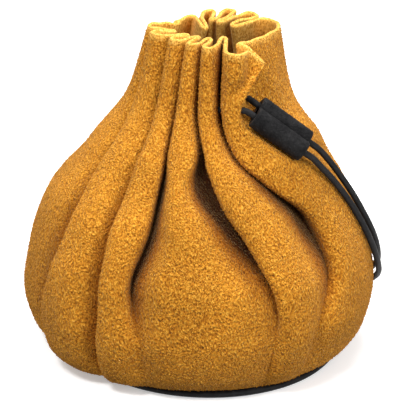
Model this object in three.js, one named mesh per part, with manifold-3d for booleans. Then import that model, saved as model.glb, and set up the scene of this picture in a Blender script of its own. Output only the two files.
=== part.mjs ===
// A gathered drawstring belt pouch: a pleated suede body on a round leather base, a drawcord through the
// neck, a leather slider on the cord, and both cord ends hanging down the right flank to a knot behind.
// Millimetres, +Z up, the origin at the middle of the base's underside. The viewer stands at -Y.
import * as THREE from "three";
import { mergeVertices } from "three/addons/utils/BufferGeometryUtils.js";
import Module from "manifold-3d";

// Driving sizes
const BASE_DIAMETER = 100;
const POUCH_HEIGHT = 118;
const SUEDE = 1.4;
const BASE_THICKNESS = 2.6;
const CORD_DIAMETER = 2.3;
const SLIDER_LENGTH = 21;
const BARREL_DIAMETER = 7.5;

// Clearances
const PIECE_GAP = 0.3;
const FOLD_GAP = 0.42;
const HOLE_CLEARANCE = 0.35;
const BORE_CLEARANCE = 0.3;

// Derived sizes
const BASE_RADIUS = BASE_DIAMETER / 2;
const LEG_HALF_GAP = SUEDE / 2 + FOLD_GAP;
const HEM_HEIGHT = BASE_THICKNESS + PIECE_GAP + SUEDE / 2;
const CORD_RADIUS = CORD_DIAMETER / 2;
const BARREL_RADIUS = BARREL_DIAMETER / 2;
const BARREL_SPACING = BARREL_DIAMETER * 0.92;
const CORD_SIDES = 8;
const DEGREE = Math.PI / 180;

// Outline of the body from hem to rim. Heights are shares of the pouch height; the section's own centre
// (east is +X, north is +Y) and its eight radii, to the outside of the leather, are shares of the base
// radius. The belly hangs out over the base at the left, and is nearly upright at the front.
const SECTIONS = [
  { name: "hem edge", height: 0.03, east: 0, north: 0, right: 0.88, rearRight: 0.88, rear: 0.88,
    rearLeft: 0.88, left: 0.88, frontLeft: 0.88, front: 0.88, frontRight: 0.88, rows: 1 },
  { name: "hem turn", height: 0.03, east: 0, north: 0, right: 1, rearRight: 1, rear: 1,
    rearLeft: 1, left: 1.01, frontLeft: 1.01, front: 0.98, frontRight: 0.99, rows: 1 },
  { name: "tuck", height: 0.042, east: 0, north: 0, right: 1.06, rearRight: 1.06, rear: 1.06,
    rearLeft: 1.1, left: 1.15, frontLeft: 1.17, front: 1.03, frontRight: 1.05, rows: 1 },
  { name: "foot", height: 0.093, east: 0, north: 0, right: 1.17, rearRight: 1.16, rear: 1.16,
    rearLeft: 1.2, left: 1.27, frontLeft: 1.27, front: 1.14, frontRight: 1.14, rows: 2 },
  { name: "low belly", height: 0.212, east: 0, north: 0, right: 1.24, rearRight: 1.24, rear: 1.22,
    rearLeft: 1.26, left: 1.326, frontLeft: 1.33, front: 1.22, frontRight: 1.22, rows: 1 },
  { name: "belly", height: 0.339, east: 0, north: 0.01, right: 1.2, rearRight: 1.2, rear: 1.2,
    rearLeft: 1.25, left: 1.292, frontLeft: 1.3, front: 1.22, frontRight: 1.2, rows: 2 },
  { name: "waist", height: 0.492, east: 0, north: 0.02, right: 1.07, rearRight: 1.07, rear: 1.07,
    rearLeft: 1.1, left: 1.16, frontLeft: 1.14, front: 1.08, frontRight: 1.06, rows: 2 },
  { name: "shoulder", height: 0.653, east: 0.01, north: 0.04, right: 0.84, rearRight: 0.82, rear: 0.83,
    rearLeft: 0.8, left: 0.88, frontLeft: 0.84, front: 0.84, frontRight: 0.86, rows: 2 },
  { name: "cord", height: 0.805, east: 0.02, north: 0.06, right: 0.55, rearRight: 0.6, rear: 0.62,
    rearLeft: 0.52, left: 0.624, frontLeft: 0.56, front: 0.56, frontRight: 0.53, rows: 2 },
  { name: "rim", height: 1, east: 0.04, north: 0.06, right: 0.37, rearRight: 0.5, rear: 0.54,
    rearLeft: 0.37, left: 0.51, frontLeft: 0.41, front: 0.46, frontRight: 0.37, rows: 0 },
];
const DIRECTIONS = ["right", "rearRight", "rear", "rearLeft", "left", "frontLeft", "front", "frontRight"];

// Heights of the columns in the three pleat tables, as shares of the pouch height.
const LEVEL = { foot: 0.186, belly: 0.356, waist: 0.508, shoulder: 0.627, throat: 0.712, cord: 0.805, rim: 1 };

// Where the crease before each pleat runs, in degrees about the section's centre, counted on past 360.
const CREASE_ANGLE = [
  { pleat: "left", foot: 203, belly: 207, waist: 208, shoulder: 204, throat: 201, cord: 194, rim: 184 },
  { pleat: "frontLeft", foot: 232, belly: 231, waist: 229, shoulder: 227, throat: 225, cord: 219, rim: 210 },
  { pleat: "frontPanel", foot: 248, belly: 247, waist: 251.5, shoulder: 248.5, throat: 243, cord: 238, rim: 233 },
  { pleat: "frontRidge", foot: 295, belly: 289, waist: 278.5, shoulder: 268.5, throat: 263.5, cord: 256, rim: 252 },
  { pleat: "cornerFlap", foot: 312, belly: 315, waist: 309, shoulder: 292, throat: 280, cord: 274.5, rim: 270.5 },
  { pleat: "rightPanel", foot: 366, belly: 368, waist: 365, shoulder: 357, throat: 327, cord: 303, rim: 291 },
  { pleat: "rearRight", foot: 420, belly: 420, waist: 418, shoulder: 416, throat: 414, cord: 411, rim: 408 },
  { pleat: "rearMiddle", foot: 447, belly: 446, waist: 444, shoulder: 442, throat: 439, cord: 435, rim: 431 },
  { pleat: "rearLeft", foot: 472, belly: 470, waist: 467, shoulder: 463, throat: 459, cord: 454, rim: 448 },
  { pleat: "rearRoll", foot: 497, belly: 495, waist: 490, shoulder: 485, throat: 480, cord: 474, rim: 468 },
  { pleat: "leftRear", foot: 520, belly: 519, waist: 517, shoulder: 515, throat: 514, cord: 513, rim: 513 },
];

// How deep each crease goes below the outline, as a share of the base radius.
const CREASE_DEPTH = [
  { pleat: "left", foot: 0.11, belly: 0.19, waist: 0.22, shoulder: 0.21, throat: 0.19, cord: 0.2, rim: 0.2 },
  { pleat: "frontLeft", foot: 0.13, belly: 0.21, waist: 0.22, shoulder: 0.21, throat: 0.2, cord: 0.2, rim: 0.19 },
  { pleat: "frontPanel", foot: 0.07, belly: 0.18, waist: 0.27, shoulder: 0.27, throat: 0.23, cord: 0.2, rim: 0.19 },
  { pleat: "frontRidge", foot: 0.07, belly: 0.13, waist: 0.24, shoulder: 0.33, throat: 0.27, cord: 0.21, rim: 0.21 },
  { pleat: "cornerFlap", foot: 0.07, belly: 0.15, waist: 0.21, shoulder: 0.23, throat: 0.23, cord: 0.23, rim: 0.23 },
  { pleat: "rightPanel", foot: 0.02, belly: 0.04, waist: 0.06, shoulder: 0.08, throat: 0.08, cord: 0.06, rim: 0.04 },
  { pleat: "rearRight", foot: 0.03, belly: 0.08, waist: 0.12, shoulder: 0.15, throat: 0.18, cord: 0.24, rim: 0.32 },
  { pleat: "rearMiddle", foot: 0.04, belly: 0.1, waist: 0.14, shoulder: 0.17, throat: 0.2, cord: 0.26, rim: 0.34 },
  { pleat: "rearLeft", foot: 0.04, belly: 0.09, waist: 0.14, shoulder: 0.17, throat: 0.2, cord: 0.26, rim: 0.25 },
  { pleat: "rearRoll", foot: 0.05, belly: 0.11, waist: 0.15, shoulder: 0.17, throat: 0.19, cord: 0.22, rim: 0.25 },
  { pleat: "leftRear", foot: 0.03, belly: 0.08, waist: 0.12, shoulder: 0.15, throat: 0.16, cord: 0.15, rim: 0.11 },
];

// Where the pleat's crest stands between its two creases. The corner flap's crest lies past its far crease.
const CREST_SHARE = [
  { pleat: "left", foot: 0.4, belly: 0.36, waist: 0.36, shoulder: 0.4, throat: 0.42, cord: 0.45, rim: 0.5 },
  { pleat: "frontLeft", foot: 0.4, belly: 0.38, waist: 0.38, shoulder: 0.42, throat: 0.44, cord: 0.47, rim: 0.5 },
  { pleat: "frontPanel", foot: 0.42, belly: 0.34, waist: 0.28, shoulder: 0.32, throat: 0.38, cord: 0.45, rim: 0.5 },
  { pleat: "frontRidge", foot: 0.4, belly: 0.38, waist: 0.4, shoulder: 0.45, throat: 0.5, cord: 0.5, rim: 0.5 },
  { pleat: "cornerFlap", foot: 0.56, belly: 0.46, waist: 0.53, shoulder: 0.58, throat: 0.57, cord: 0.47, rim: 1.95 },
  { pleat: "rightPanel", foot: 0.5, belly: 0.5, waist: 0.5, shoulder: 0.5, throat: 0.58, cord: 0.69, rim: 0.72 },
  { pleat: "rearRight", foot: 0.5, belly: 0.5, waist: 0.5, shoulder: 0.5, throat: 0.5, cord: 0.5, rim: 0.5 },
  { pleat: "rearMiddle", foot: 0.5, belly: 0.5, waist: 0.5, shoulder: 0.5, throat: 0.5, cord: 0.5, rim: 0.5 },
  { pleat: "rearLeft", foot: 0.5, belly: 0.5, waist: 0.5, shoulder: 0.5, throat: 0.5, cord: 0.5, rim: 0.5 },
  { pleat: "rearRoll", foot: 0.5, belly: 0.5, waist: 0.5, shoulder: 0.5, throat: 0.5, cord: 0.5, rim: 0.5 },
  { pleat: "leftRear", foot: 0.5, belly: 0.5, waist: 0.5, shoulder: 0.5, throat: 0.55, cord: 0.55, rim: 0.55 },
];

// How many degrees the inner end of a crease leans round, so that the fold beside it hangs over it, how far
// the crest stands out past the outline at the neck (a share of the base radius), and the run of the fold
// on each side of the crest.
const FOLD_LEAN = [
  { pleat: "left", leanBelly: 10, leanWaist: 11, leanCord: 0, leanRim: 0, before: "leg", after: "leg" },
  { pleat: "frontLeft", leanBelly: 8, leanWaist: 8, leanCord: 0, leanRim: 0, before: "leg", after: "leg" },
  { pleat: "frontPanel", leanBelly: -5, leanWaist: -9, leanCord: 0, leanRim: 0, before: "leg", after: "leg" },
  { pleat: "frontRidge", leanBelly: 9, leanWaist: 9, leanCord: 2, leanRim: 4, before: "leg", after: "leg" },
  { pleat: "cornerFlap", leanBelly: 9, leanWaist: 12, leanCord: 8, leanRim: 14, before: "flapFront", after: "flapBack" },
  { pleat: "rightPanel", leanBelly: 0, leanWaist: 0, leanCord: 0, leanRim: 0, before: "wall", after: "leg" },
  { pleat: "rearRight", leanBelly: -4, leanWaist: -5, leanCord: 5, leanRim: 8, before: "leg", after: "leg" },
  { pleat: "rearMiddle", leanBelly: -5, leanWaist: -6, leanCord: 7, leanRim: 15, before: "leg", after: "leg" },
  { pleat: "rearLeft", leanBelly: 5, leanWaist: 7, leanCord: 9, leanRim: 11, before: "leg", after: "leg" },
  { pleat: "rearRoll", leanBelly: 5, leanWaist: 7, leanCord: 13, leanRim: 26, before: "leg", after: "leg" },
  { pleat: "leftRear", leanBelly: 0, leanWaist: 0, leanCord: 2, leanRim: 4, before: "leg", after: "leg" },
];
const CREST_REACH = [
  { pleat: "cornerFlap", throat: 0.04, cord: 0.09, rim: 0.13 },
  { pleat: "rightPanel", throat: 0, cord: 0.03, rim: 0.06 },
];
// A crease that opens into a pocket: how many degrees its near leg stands off from the bottom.
const POCKET = [
  { pleat: "frontRidge", waist: 3, shoulder: 9, throat: 2 },
];
const FLAP = FOLD_LEAN.findIndex((row) => row.pleat === "cornerFlap");

// Half a fold from the bottom of its crease towards its crest. Across is a share of the way along the
// outline, gaps counts half gaps between two pressed legs, up is a share of the rise, and under is what
// the point lies below that, in millimetres.
const FOLD_RUN = {
  open: [
    { point: "bottom", across: 0, gaps: 0, up: 0, under: 0 },
    { point: "heel", across: 0.08, gaps: 0, up: 0.07, under: 0 },
    { point: "slope", across: 0.2, gaps: 0, up: 0.4, under: 0 },
    { point: "shoulder", across: 0.38, gaps: 0, up: 0.75, under: 0 },
    { point: "brow", across: 0.65, gaps: 0, up: 0.97, under: 0 },
  ],
  leg: [
    { point: "bottom", across: 0, gaps: 0, up: 0, under: 0 },
    { point: "heel", across: 0, gaps: 1, up: 0, under: -0.45 },
    { point: "slope", across: 0, gaps: 1, up: 0.5, under: 0 },
    { point: "shoulder", across: 0, gaps: 1.1, up: 1, under: 2 },
    { point: "brow", across: 0.55, gaps: 0.3, up: 1, under: 0.3 },
  ],
  flapFront: [
    { point: "bottom", across: 0, gaps: 0, up: 0, under: 0 },
    { point: "leg", across: 0, gaps: 1, up: 0.1, under: 0 },
    { point: "first corner", across: 0, gaps: 1, up: 1, under: 0 },
    { point: "second corner", across: 0, gaps: 6.8, up: 1.05, under: 0 },
    { point: "valley", across: 0, gaps: 7.6, up: 0.7, under: 0 },
  ],
  flapBack: [
    { point: "bottom", across: 0, gaps: 0, up: 0, under: 0 },
    { point: "heel", across: 0.17, gaps: 0, up: 0.14, under: 0 },
    { point: "slope", across: 0.45, gaps: 0, up: 0.36, under: 0 },
    { point: "shoulder", across: 0.8, gaps: 0, up: 0.6, under: 0 },
    { point: "brow", across: 0.99, gaps: 0, up: 0.78, under: 0 },
  ],
  wall: [
    { point: "bottom", across: 0, gaps: 0, up: 0, under: 0 },
    { point: "heel", across: 0.045, gaps: 0, up: -0.35, under: 0 },
    { point: "slope", across: 0.13, gaps: 0, up: -0.15, under: 0 },
    { point: "shoulder", across: 0.36, gaps: 0, up: 0.5, under: 0 },
    { point: "brow", across: 0.72, gaps: 0, up: 1, under: 0 },
  ],
};

// Above the cord the legs are pressed together, and below the shoulder the folds lie open.
const PRESSED_FROM = 0.44;
const PRESSED_FULL = 0.77;
// The corner flap turns out and droops from this height up.
const FLAP_FROM = 0.847;
const FLAP_OUT = 0.04;
const FLAP_DROOP = 0.06;
const FLAP_SPREAD = 16;
const FLAP_TURNS = 1.8;

// The cord's loop round the neck, listed from the front barrel round to the rear barrel: lift is how far
// the cord's middle lies outside the outline, as a share of the base radius.
const NECK_LOOP = [
  { at: "corner hole", angle: 291, height: 0.831, lift: 0.083 },
  { at: "inside the corner", angle: 286, height: 0.827, lift: 0.025 },
  { at: "inside the corner fold", angle: 280.5, height: 0.818, lift: -0.06 },
  { at: "beside the front ridge", angle: 275, height: 0.81, lift: -0.12 },
  { at: "front ridge", angle: 266, height: 0.803, lift: -0.15 },
  { at: "front panel", angle: 247, height: 0.797, lift: -0.15 },
  { at: "front left", angle: 229, height: 0.797, lift: -0.15 },
  { at: "left", angle: 207, height: 0.797, lift: -0.15 },
  { at: "left rear", angle: 172, height: 0.797, lift: -0.12 },
  { at: "rear roll", angle: 134, height: 0.797, lift: -0.11 },
  { at: "rear left", angle: 104, height: 0.797, lift: -0.16 },
  { at: "rear middle", angle: 85, height: 0.797, lift: -0.17 },
  { at: "rear right", angle: 63, height: 0.797, lift: -0.16 },
  { at: "right corner", angle: 30, height: 0.8, lift: -0.13 },
  { at: "right wall", angle: -5, height: 0.803, lift: -0.13 },
  { at: "right wall, front", angle: -23, height: 0.808, lift: -0.124 },
  { at: "behind the right panel", angle: -40, height: 0.819, lift: -0.136 },
  { at: "start of the bend", angle: -53, height: 0.833, lift: -0.15 },
  { at: "bend", angle: -63, height: 0.847, lift: -0.125 },
  { at: "bend, top", angle: -66.2, height: 0.858, lift: -0.072 },
  { at: "flap hole", angle: -64.3, height: 0.8575, lift: -0.026 },
];

// The slider by its two barrels: east and north are shares of the base radius.
const SLIDER = [
  { at: "front barrel, upper end", east: 0.306, north: -0.525, height: 0.816 },
  { at: "front barrel, lower end", east: 0.649, north: -0.543, height: 0.714 },
  { at: "rear barrel, middle", east: 0.509, north: -0.404, height: 0.779 },
];

// The two free ends down the right flank, from the slider to the floor behind: lift is how far the cord's
// middle lies outside the outline, in cord radii.
const LOWER_TAIL = [
  { angle: 322.4, height: 0.688, lift: 4.52 },
  { angle: 325.5, height: 0.663, lift: 3.39 },
  { angle: 330.6, height: 0.628, lift: 2.35 },
  { angle: 336.3, height: 0.577, lift: 1.74 },
  { angle: 340.4, height: 0.526, lift: 1.61 },
  { angle: 343.7, height: 0.467, lift: 1.61 },
  { angle: 346.5, height: 0.401, lift: 1.61 },
  { angle: 350.5, height: 0.332, lift: 1.61 },
  { angle: 357, height: 0.265, lift: 1.61 },
  { angle: 366, height: 0.2, lift: 1.7 },
  { angle: 376, height: 0.135, lift: 2 },
  { angle: 384, height: 0.06, lift: 2.61 },
];
const UPPER_TAIL = [
  { angle: 330.8, height: 0.699, lift: 4.04 },
  { angle: 333.1, height: 0.674, lift: 3.61 },
  { angle: 336.6, height: 0.639, lift: 2.96 },
  { angle: 341.2, height: 0.589, lift: 2.35 },
  { angle: 345.9, height: 0.529, lift: 2 },
  { angle: 349.5, height: 0.463, lift: 1.91 },
  { angle: 353.3, height: 0.392, lift: 1.91 },
  { angle: 359, height: 0.315, lift: 1.91 },
  { angle: 367, height: 0.245, lift: 1.91 },
  { angle: 376, height: 0.18, lift: 2.17 },
  { angle: 383, height: 0.12, lift: 3.3 },
  { angle: 387, height: 0.065, lift: 5.6 },
];
const KNOT_ANGLE = 400;
const KNOT_DISTANCE = 1.3;
const KNOT_RADIUS = 2.9;
const KNOT_CORD_RADIUS = 1.05;
const TAIL_STOPS = [11.5, 6.6];
const FLOOR_GAP = 0.25;

// Smooth curve through rows of values, with no overshoot between two rows.
function curveThrough(places, values) {
  const count = places.length;
  const steps = places.slice(1).map((place, i) => place - places[i]);
  const rises = steps.map((step, i) => (values[i + 1] - values[i]) / step);
  const slopes = values.map((value, i) => {
    if (i === 0) return rises[0];
    if (i === count - 1) return rises[count - 2];
    if (rises[i - 1] * rises[i] <= 0) return 0;
    const near = 2 * steps[i] + steps[i - 1];
    const far = steps[i] + 2 * steps[i - 1];
    return (near + far) / (near / rises[i - 1] + far / rises[i]);
  });
  return (place) => {
    const inside = Math.min(Math.max(place, places[0]), places[count - 1]);
    let i = 0;
    while (i < count - 2 && inside > places[i + 1]) i += 1;
    const t = (inside - places[i]) / steps[i];
    const s = 1 - t;
    return (1 + 2 * t) * s * s * values[i] + t * s * s * steps[i] * slopes[i]
      + t * t * (3 - 2 * t) * values[i + 1] - t * t * s * steps[i] * slopes[i + 1];
  };
}

// One curve up the body for a column of the section table.
function sectionCurve(column) {
  return curveThrough(SECTIONS.map((row, i) => i), SECTIONS.map(column));
}
const heightAt = sectionCurve((row) => Math.max(row.height * POUCH_HEIGHT, HEM_HEIGHT));
const eastAt = sectionCurve((row) => row.east * BASE_RADIUS);
const northAt = sectionCurve((row) => row.north * BASE_RADIUS);
const radiusAt = DIRECTIONS.map((name) => sectionCurve((row) => row[name] * BASE_RADIUS));

// One curve over height for a row of a pleat table.
const LEVEL_NAMES = Object.keys(LEVEL);
function pleatCurve(row, unit) {
  const places = [0, ...LEVEL_NAMES.map((name) => LEVEL[name] * POUCH_HEIGHT)];
  return curveThrough(places, [row.foot, ...LEVEL_NAMES.map((name) => row[name])].map((v) => v * unit));
}
const creaseAngle = CREASE_ANGLE.map((row) => pleatCurve(row, 1));
const creaseDepth = CREASE_DEPTH.map((row) => pleatCurve(row, BASE_RADIUS));
const crestShare = CREST_SHARE.map((row) => pleatCurve(row, 1));
const foldLean = FOLD_LEAN.map((row) => pleatCurve({
  foot: 0,
  belly: row.leanBelly,
  waist: row.leanWaist,
  shoulder: row.leanWaist,
  throat: (row.leanWaist + row.leanCord) / 2,
  cord: row.leanCord,
  rim: row.leanRim,
}, 1));
const crestReach = FOLD_LEAN.map((row) => {
  const reach = CREST_REACH.find((other) => other.pleat === row.pleat) ?? { throat: 0, cord: 0, rim: 0 };
  return pleatCurve({ foot: 0, belly: 0, waist: 0, shoulder: 0, ...reach }, BASE_RADIUS);
});
const pocket = FOLD_LEAN.map((row) => {
  const width = POCKET.find((other) => other.pleat === row.pleat) ?? { waist: 0, shoulder: 0, throat: 0 };
  return pleatCurve({ foot: 0, belly: 0, cord: 0, rim: 0, ...width }, 1);
});

// Radius of the outline in one direction: a closed curve through the section's eight radii.
function outlineRadius(radii, angle) {
  const turn = (((angle % 360) + 360) % 360) / 45;
  const i = Math.floor(turn) % 8;
  const t = turn - Math.floor(turn);
  const [a, b, c, d] = [7, 0, 1, 2].map((step) => radii[(i + step) % 8]);
  return b + 0.5 * t * (c - a + t * (2 * a - 5 * b + 4 * c - d + t * (3 * (b - c) + d - a)));
}

// The half fold before or after a crest: its points from the crease to the crest, as angle and rise.
function halfFold(fold, radii, pressed) {
  const half = (fold.crest - fold.crease) * fold.side;
  return FOLD_RUN.open.map((open, i) => {
    const own = FOLD_RUN[fold.run][i];
    const leg = FOLD_RUN.leg[i];
    const share = fold.run === "flapFront" ? fold.turned : 1;
    const run = {
      across: leg.across + (own.across - leg.across) * share,
      gaps: leg.gaps + (own.gaps - leg.gaps) * share,
      up: leg.up + (own.up - leg.up) * share,
      under: leg.under + (own.under - leg.under) * share,
    };
    const rise = fold.depth + fold.reach;
    const reachShare = run.across * run.across;
    const openUp = -fold.depth * (1 - open.up) + fold.reach * open.up;
    const pressedUp = fold.run === "wall"
      ? -fold.depth * (1 - run.up) + fold.reach * reachShare
      : -fold.depth + rise * run.up - run.under;
    const local = outlineRadius(radii, fold.crease + fold.side * half * run.across) + pressedUp - SUEDE / 2;
    const gap = (run.gaps * LEG_HALF_GAP * (1 + 0.02 * Math.abs(fold.lean))) / local / DEGREE;
    const openTurn = half * open.across;
    const closedTurn = openTurn + (half * run.across + gap - openTurn) * pressed;
    const turn = closedTurn + (i === 0 ? 0 : fold.standOff * (1 - closedTurn / half));
    const up = openUp + (pressedUp - openUp) * pressed;
    const inner = fold.depth > 0.01 ? Math.max(0, -up / fold.depth) : 0;
    return { angle: fold.crease + fold.side * turn + fold.lean * inner ** 1.5, up };
  });
}

// The middle of the leather at one section, as the control points of a closed curve.
function controlRing(section) {
  const z = heightAt(section);
  const share = z / POUCH_HEIGHT;
  const radii = radiusAt.map((curve) => curve(section));
  const ramp = Math.min(Math.max((share - PRESSED_FROM) / (PRESSED_FULL - PRESSED_FROM), 0), 1);
  const pressed = ramp * ramp * (3 - 2 * ramp);
  const fade = Math.min(Math.max((section - 1) / 2.2, 0), 1);
  const creases = FOLD_LEAN.map((row, i) => ({
    angle: creaseAngle[i](z),
    depth: creaseDepth[i](z) * fade,
    lean: foldLean[i](z),
    standOff: pocket[i](z),
  }));
  creases.push({ ...creases[0], angle: creases[0].angle + 360 });
  const crests = FOLD_LEAN.map((row, i) => (
    creases[i].angle + (creases[i + 1].angle - creases[i].angle) * crestShare[i](z)));
  const flare = Math.max((share - FLAP_FROM) / (1 - FLAP_FROM), 0);
  const turnedShare = Math.min(FLAP_TURNS * flare, 1);
  const points = FOLD_LEAN.flatMap((row, i) => {
    const reach = crestReach[i](z);
    const shared = { crest: crests[i], reach, turned: turnedShare };
    const [first, second] = [creases[i], creases[i + 1]];
    const before = halfFold(
      { ...shared, crease: first.angle, depth: first.depth, lean: first.lean, standOff: 0, side: 1,
        run: row.before },
      radii, pressed);
    const after = halfFold(
      { ...shared, crease: second.angle, depth: second.depth, lean: second.lean, standOff: second.standOff,
        side: -1, run: row.after },
      radii, pressed);
    return [...before, { angle: crests[i], up: reach }, ...after.slice(1).reverse()];
  });
  return points.map(({ angle, up }) => {
    const near = Math.exp(-(((angle - crests[FLAP]) / FLAP_SPREAD) ** 2));
    const turned = Math.min(Math.max(up, 0) / (0.12 * BASE_RADIUS), 1) * near;
    const radius = outlineRadius(radii, angle) + up - SUEDE / 2 + FLAP_OUT * BASE_RADIUS * flare * turned;
    return new THREE.Vector3(
      eastAt(section) + radius * Math.cos(angle * DEGREE),
      northAt(section) + radius * Math.sin(angle * DEGREE),
      z - FLAP_DROOP * POUCH_HEIGHT * flare * flare * turned,
    );
  });
}

// Rounded closed curve that follows the control points, one point for each.
function roundedRing(control) {
  const count = control.length;
  return control.map((point, i) => {
    const before = control[(i + count - 1) % count];
    const after = control[(i + 1) % count];
    return point.clone().multiplyScalar(4).add(before).add(after).divideScalar(6);
  });
}

// The rows of the body's mesh, as section numbers: a few between each two rows of the section table.
function sectionSteps() {
  const steps = SECTIONS.flatMap((row, i) => (
    Array.from({ length: row.rows }, (unused, k) => i + k / row.rows)));
  return [...steps, SECTIONS.length - 1];
}

// Outward offset of each point of the middle surface by half the leather, kept even through tight turns.
function offsets(rings) {
  const count = rings[0].length;
  return rings.map((ring, j) => ring.map((point, i) => {
    const before = ring[(i + count - 1) % count];
    const after = ring[(i + 1) % count];
    const below = rings[Math.max(j - 1, 0)][i];
    const above = rings[Math.min(j + 1, rings.length - 1)][i];
    const along = after.clone().sub(before);
    const normal = along.cross(above.clone().sub(below)).normalize();
    const turn = after.clone().sub(point).angleTo(point.clone().sub(before));
    return normal.multiplyScalar(SUEDE / 2 / Math.max(Math.cos(turn / 2), 0.72));
  }));
}

// A closed shell between the outer and the inner side of the leather.
function shellGeometry(rings) {
  const rows = rings.length;
  const count = rings[0].length;
  const shifts = offsets(rings);
  const outer = rings.map((ring, j) => ring.map((point, i) => point.clone().add(shifts[j][i])));
  const inner = rings.map((ring, j) => ring.map((point, i) => point.clone().sub(shifts[j][i])));
  const positions = [...outer.flat(), ...inner.flat()].flatMap((point) => point.toArray());
  const innerStart = rows * count;
  const faces = [];
  const quad = (a, b, c, d) => faces.push(a, b, c, a, c, d);
  for (let i = 0; i < count; i += 1) {
    const next = (i + 1) % count;
    for (let j = 0; j < rows - 1; j += 1) {
      const [low, high] = [j * count, (j + 1) * count];
      quad(low + i, low + next, high + next, high + i);
      quad(innerStart + low + i, innerStart + high + i, innerStart + high + next, innerStart + low + next);
    }
    const top = (rows - 1) * count;
    quad(i, innerStart + i, innerStart + next, next);
    quad(top + i, top + next, innerStart + top + next, innerStart + top + i);
  }
  const geometry = new THREE.BufferGeometry();
  geometry.setAttribute("position", new THREE.BufferAttribute(new Float32Array(positions), 3));
  geometry.setIndex(faces);
  return geometry;
}

// A point outside the outline by a lift in millimetres, at an angle and a share of the height.
const SECTION_PLACES = SECTIONS.map((row, i) => i).slice(1);
const sectionAt = curveThrough(SECTION_PLACES.map((i) => heightAt(i)), SECTION_PLACES);
function outlinePoint(angle, heightShare, lift) {
  const z = heightShare * POUCH_HEIGHT;
  const section = sectionAt(z);
  const radius = outlineRadius(radiusAt.map((curve) => curve(section)), angle) + lift;
  return new THREE.Vector3(
    eastAt(section) + radius * Math.cos(angle * DEGREE),
    northAt(section) + radius * Math.sin(angle * DEGREE),
    z,
  );
}

// Round cord along a smooth route through points.
function cordGeometry(points, radius, steps) {
  const outline = new THREE.Shape(Array.from({ length: CORD_SIDES }, (unused, i) => {
    const angle = (i / CORD_SIDES) * 2 * Math.PI;
    return new THREE.Vector2(radius * Math.cos(angle), radius * Math.sin(angle));
  }));
  const extrudePath = new THREE.CatmullRomCurve3(points, false, "centripetal");
  return new THREE.ExtrudeGeometry(outline, { steps, extrudePath, bevelEnabled: false });
}

const wasm = await Module();
wasm.setup();

// The geometry as one closed solid for cutting.
function toSolid(geometry) {
  const bare = geometry.index ? geometry.toNonIndexed() : geometry.clone();
  bare.deleteAttribute("normal");
  bare.deleteAttribute("uv");
  const merged = mergeVertices(bare, 1e-3);
  return new wasm.Manifold(new wasm.Mesh({
    numProp: 3,
    vertProperties: merged.attributes.position.array,
    triVerts: new Uint32Array(merged.index.array),
  }));
}

function fromSolid(solid) {
  const mesh = solid.getMesh();
  const geometry = new THREE.BufferGeometry();
  geometry.setAttribute("position", new THREE.BufferAttribute(new Float32Array(mesh.vertProperties), 3));
  geometry.setIndex(new THREE.BufferAttribute(new Uint32Array(mesh.triVerts), 1));
  return geometry;
}

// Slider: where its two barrels lie
function sliderFrame() {
  const [upper, lower, rear] = SLIDER.map((row) => (
    new THREE.Vector3(row.east * BASE_RADIUS, row.north * BASE_RADIUS, row.height * POUCH_HEIGHT)));
  const along = lower.clone().sub(upper).normalize();
  const middle = upper.clone().add(lower).divideScalar(2);
  const across = rear.clone().sub(middle);
  across.addScaledVector(along, -across.dot(along)).normalize();
  return { along, across, middle, out: across.clone().cross(along).normalize() };
}
const slider = sliderFrame();
function barrelPoint(barrel, distance) {
  return slider.middle.clone()
    .addScaledVector(slider.across, barrel * BARREL_SPACING)
    .addScaledVector(slider.along, distance);
}

// Slider: two rolls of leather side by side, each round one cord
function sliderGeometry() {
  const side = BARREL_SPACING / 2;
  const meet = Math.acos(side / BARREL_RADIUS);
  const outline = new THREE.Shape();
  outline.absarc(-side, 0, BARREL_RADIUS, meet, 2 * Math.PI - meet, false);
  outline.absarc(side, 0, BARREL_RADIUS, Math.PI + meet, 3 * Math.PI - meet, false);
  outline.closePath();
  [-side, side].forEach((x) => {
    const bore = new THREE.Path();
    bore.absarc(x, 0, CORD_RADIUS + BORE_CLEARANCE, 0, 2 * Math.PI, true);
    outline.holes.push(bore);
  });
  const geometry = new THREE.ExtrudeGeometry(outline, {
    depth: SLIDER_LENGTH,
    bevelEnabled: false,
    curveSegments: 8,
  });
  geometry.translate(side, 0, -SLIDER_LENGTH / 2);
  const out = slider.along.clone().cross(slider.across);
  const place = new THREE.Matrix4().makeBasis(slider.across, out, slider.along);
  place.setPosition(slider.middle);
  return geometry.applyMatrix4(place);
}

// Drawcord: through the front barrel, round the neck through the pleats, and through the rear barrel
function neckLoopPoints() {
  const reach = SLIDER_LENGTH / 2;
  const stops = [reach - 1, 0, 4 - reach, -reach, -reach - 1];
  const frontBarrel = stops.map((distance) => barrelPoint(0, distance));
  const rearBarrel = stops.map((distance) => barrelPoint(1, distance)).reverse();
  const loop = NECK_LOOP.map((row) => outlinePoint(row.angle, row.height, row.lift * BASE_RADIUS));
  return [...frontBarrel, ...loop, ...rearBarrel];
}

// Free ends: from the slider's lower mouth down the flank to the knot
const knotMiddle = new THREE.Vector3(
  KNOT_DISTANCE * BASE_RADIUS * Math.cos(KNOT_ANGLE * DEGREE),
  KNOT_DISTANCE * BASE_RADIUS * Math.sin(KNOT_ANGLE * DEGREE),
  KNOT_RADIUS / 2 + KNOT_CORD_RADIUS,
);
function tailPoints(barrel, rows, side) {
  const reach = SLIDER_LENGTH / 2;
  const start = [reach - 1 + PIECE_GAP, reach + 1].map((distance) => barrelPoint(barrel, distance));
  const flank = rows.map((row) => outlinePoint(row.angle, row.height, row.lift * CORD_RADIUS));
  const distance = KNOT_DISTANCE * BASE_RADIUS + side * KNOT_RADIUS;
  const near = TAIL_STOPS.map((back) => {
    const angle = KNOT_ANGLE * DEGREE - back / distance;
    return new THREE.Vector3(distance * Math.cos(angle), distance * Math.sin(angle), CORD_RADIUS + FLOOR_GAP);
  });
  return [...start, ...flank, ...near];
}

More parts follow.
